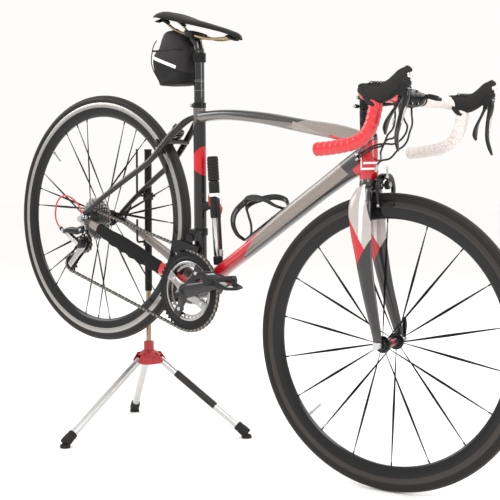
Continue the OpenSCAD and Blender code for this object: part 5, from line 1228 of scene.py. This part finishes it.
grip = [(211.6, 11)]
for k in range(7):
    grip += [(213.5 + k * 8, 14.4), (218.5 + k * 8, 14.4), (219.5 + k * 8, 13.4), (220.5 + k * 8, 13.4)]
grip += [(271, 13.8), (273.2, 12)]
parts = [(lathe([(14, 10), (15, 10.5), (150, 10.5), (150.5, 10)], PUMP_LOW, on_bike, PUMP_UP, 48),
          pump_silver),
         (lathe([(0, 9), (1.5, 12), (16, 12.5), (20, 12.2), (22, 10.6)], PUMP_LOW, on_bike, PUMP_UP, 48),
          moulded_black),
         (lathe([(118, 11), (119, 13), (126, 13.5), (148, 13.5), (150, 12.8), (170, 12.4), (172, 13.4),
                 (208, 13.5), (211, 12)], PUMP_LOW, on_bike, PUMP_UP, 48), moulded_black),
         (lathe(grip, PUMP_LOW, on_bike, PUMP_UP, 48), hood_rubber),
         (loft([up(150), up(151, -22), up(149, -44)], [10, 8, 9], [12, 10, 16], on_bike, 24, square=3),
          moulded_black),
         (lathe([(172, 13.6), (172.4, 14.1), (180, 14.1), (180.4, 13.6)], PUMP_LOW, on_bike, PUMP_UP, 48),
          strap_white),
         (loft([up(176, 8, -10), up(172, 18, -9), up(166, 27, -6), up(161, 30, -2)], [3, 3.4, 3.4, 3],
               [2.2, 2.4, 2.4, 2.2], on_bike, 16), strap_white),
         (loft([up(30, 22, -12), up(90, 23, -13), up(140, 21, -12), up(160, 16, -9), up(168, 8, -4)], 4, 4,
               on_bike, 20), hose_black),
         (lathe([(22, 5), (23, 5.6), (38, 5.6), (39, 4.6)], up(0, 22, -12), on_bike, PUMP_UP, 24),
          zinc_steel),
         (loft([up(150, 17, -3), up(142, 20, -4), up(128, 19, -3)], [5, 6, 3], [5, 6, 3], on_bike, 20,
               blunt=0.6), lever_red),
         (loft([up(150, -9, -8), up(166, -10, -8), up(178, -9, -8)], [3, 3.6, 3], [4.4, 5, 4.4], on_bike, 20,
               blunt=0.6), pedal_red)]
piece("pump_body", parts, "pump", ["pump"])

# ---- cables -----------------------------------------------------------------------------------
# Slick black outer cables loop from under the tape to the ports in the frame and the front brake;
# each enters its stop through a crimped ferrule.
cable_black = surface("extruded_cable_outer", "#101010", "#1b1b1b", 0.9, 0.35, coat=0.2)
ferrule = surface("crimped_ferrule", "#c6c6c7", "#9a9a9c", 0.5, 0.25, metal=1.0)
MID_HEAD = axis(462)
ADJUST = axis(413) + [43, -25, -19]
runs = [[BAR + p for p in ([1, 28, -10], [11, 22, -30], [22, 18, -55], [24, 12, -71], [27, 5, -91], [24,
                                                                                                     -2, -104],
                           [19, -7, -111])] + [ADJUST + p for p in ([20, 10, 35], [6, 3, 27], [2, 1,
                                                                                               22], [0, 0, 13],
                                                                   [0, 0, 0])],
        [BAR + p for p in ([1, -20, -14], [22, -14, -47], [31, -14, -56], [33, -15, -67], [30, -17, -80],
                           [27, -19, -87], [13, -23, -101])] + [MID_HEAD + p for p in (
                               [69, -26, 1], [46, -28, -7], [18, -27, -27], [-7, -22, -44])],
        [BAR + p for p in ([13, -54, -14], [23, -57, -37], [25, -57, -63], [11, -51, -83], [3, -43, -99])] +
        [MID_HEAD + p for p in ([64, -33, -19], [55, -16, -29], [45, 2, -39], [35, 17, -45], [21, 25, -48],
                                [1, 26, -52], [-9, 22, -56])],
        [BAR + p for p in ([15, -40, -14], [28, -45, -40], [33, -45, -66], [20, -40, -86], [3, -35, -94])] +
        [MID_HEAD + p for p in ([60, -32, -7], [45, -35, -15], [24, -32, -32], [-2, -24, -54])]]
parts = [(loft(run, 2.2, 2.2, on_bike, 14, steps=8), cable_black) for run in runs]
for run in runs[1:]:
    a, b = np.array(run[-1]), np.array(run[-2])
    d = (b - a) / np.linalg.norm(b - a)
    parts.append((rod(a, a + 9 * d, 3, on_bike), ferrule))
parts.append((rod(np.array(runs[0][-1]), np.array(runs[0][-2]) + [0, 0, 4], 3.1, on_bike), ferrule))
for run in runs[2:]:
    parts.append((rod(run[1] + np.array([0.4, 0, -6]), run[1] + np.array([0.8, 0, -20]), 3.4, on_bike),
                  ferrule))
cables = piece("cable_set", parts, None, ["control_cables"])
on_bike(axis(400))[0].tolist()
on_bike(axis(400) + 62 * STEER_OUT)[0].tolist()
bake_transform(cables)

# ---- bores in the frame -------------------------------------------------------------------------
# The shells of the top and down tubes open round the steerer, as the moulded frame does.
for shell in (top_tube, down_tube):
    for low, high, r in ((358, 482, 19.5), (300, 367, 24.5)):
        a, b = on_bike(axis(low))[0], on_bike(axis(high))[0]
        bpy.ops.object.select_all(action="DESELECT")
        bpy.ops.mesh.primitive_cylinder_add(vertices=48, radius=r / 1000, depth=float(np.linalg.norm(b - a)),
                                            location=((a + b) / 2).tolist(),
                                            rotation=Vector((b - a).tolist()).to_track_quat("Z",
                                                                                            "Y").to_euler())
        cutter = bpy.context.object
        bore = shell.modifiers.new("bore", "BOOLEAN")
        bore.operation = "DIFFERENCE"
        bore.object = cutter
        bpy.context.view_layer.objects.active = shell
        bpy.ops.object.modifier_apply(modifier="bore")
        bpy.data.objects.remove(cutter)
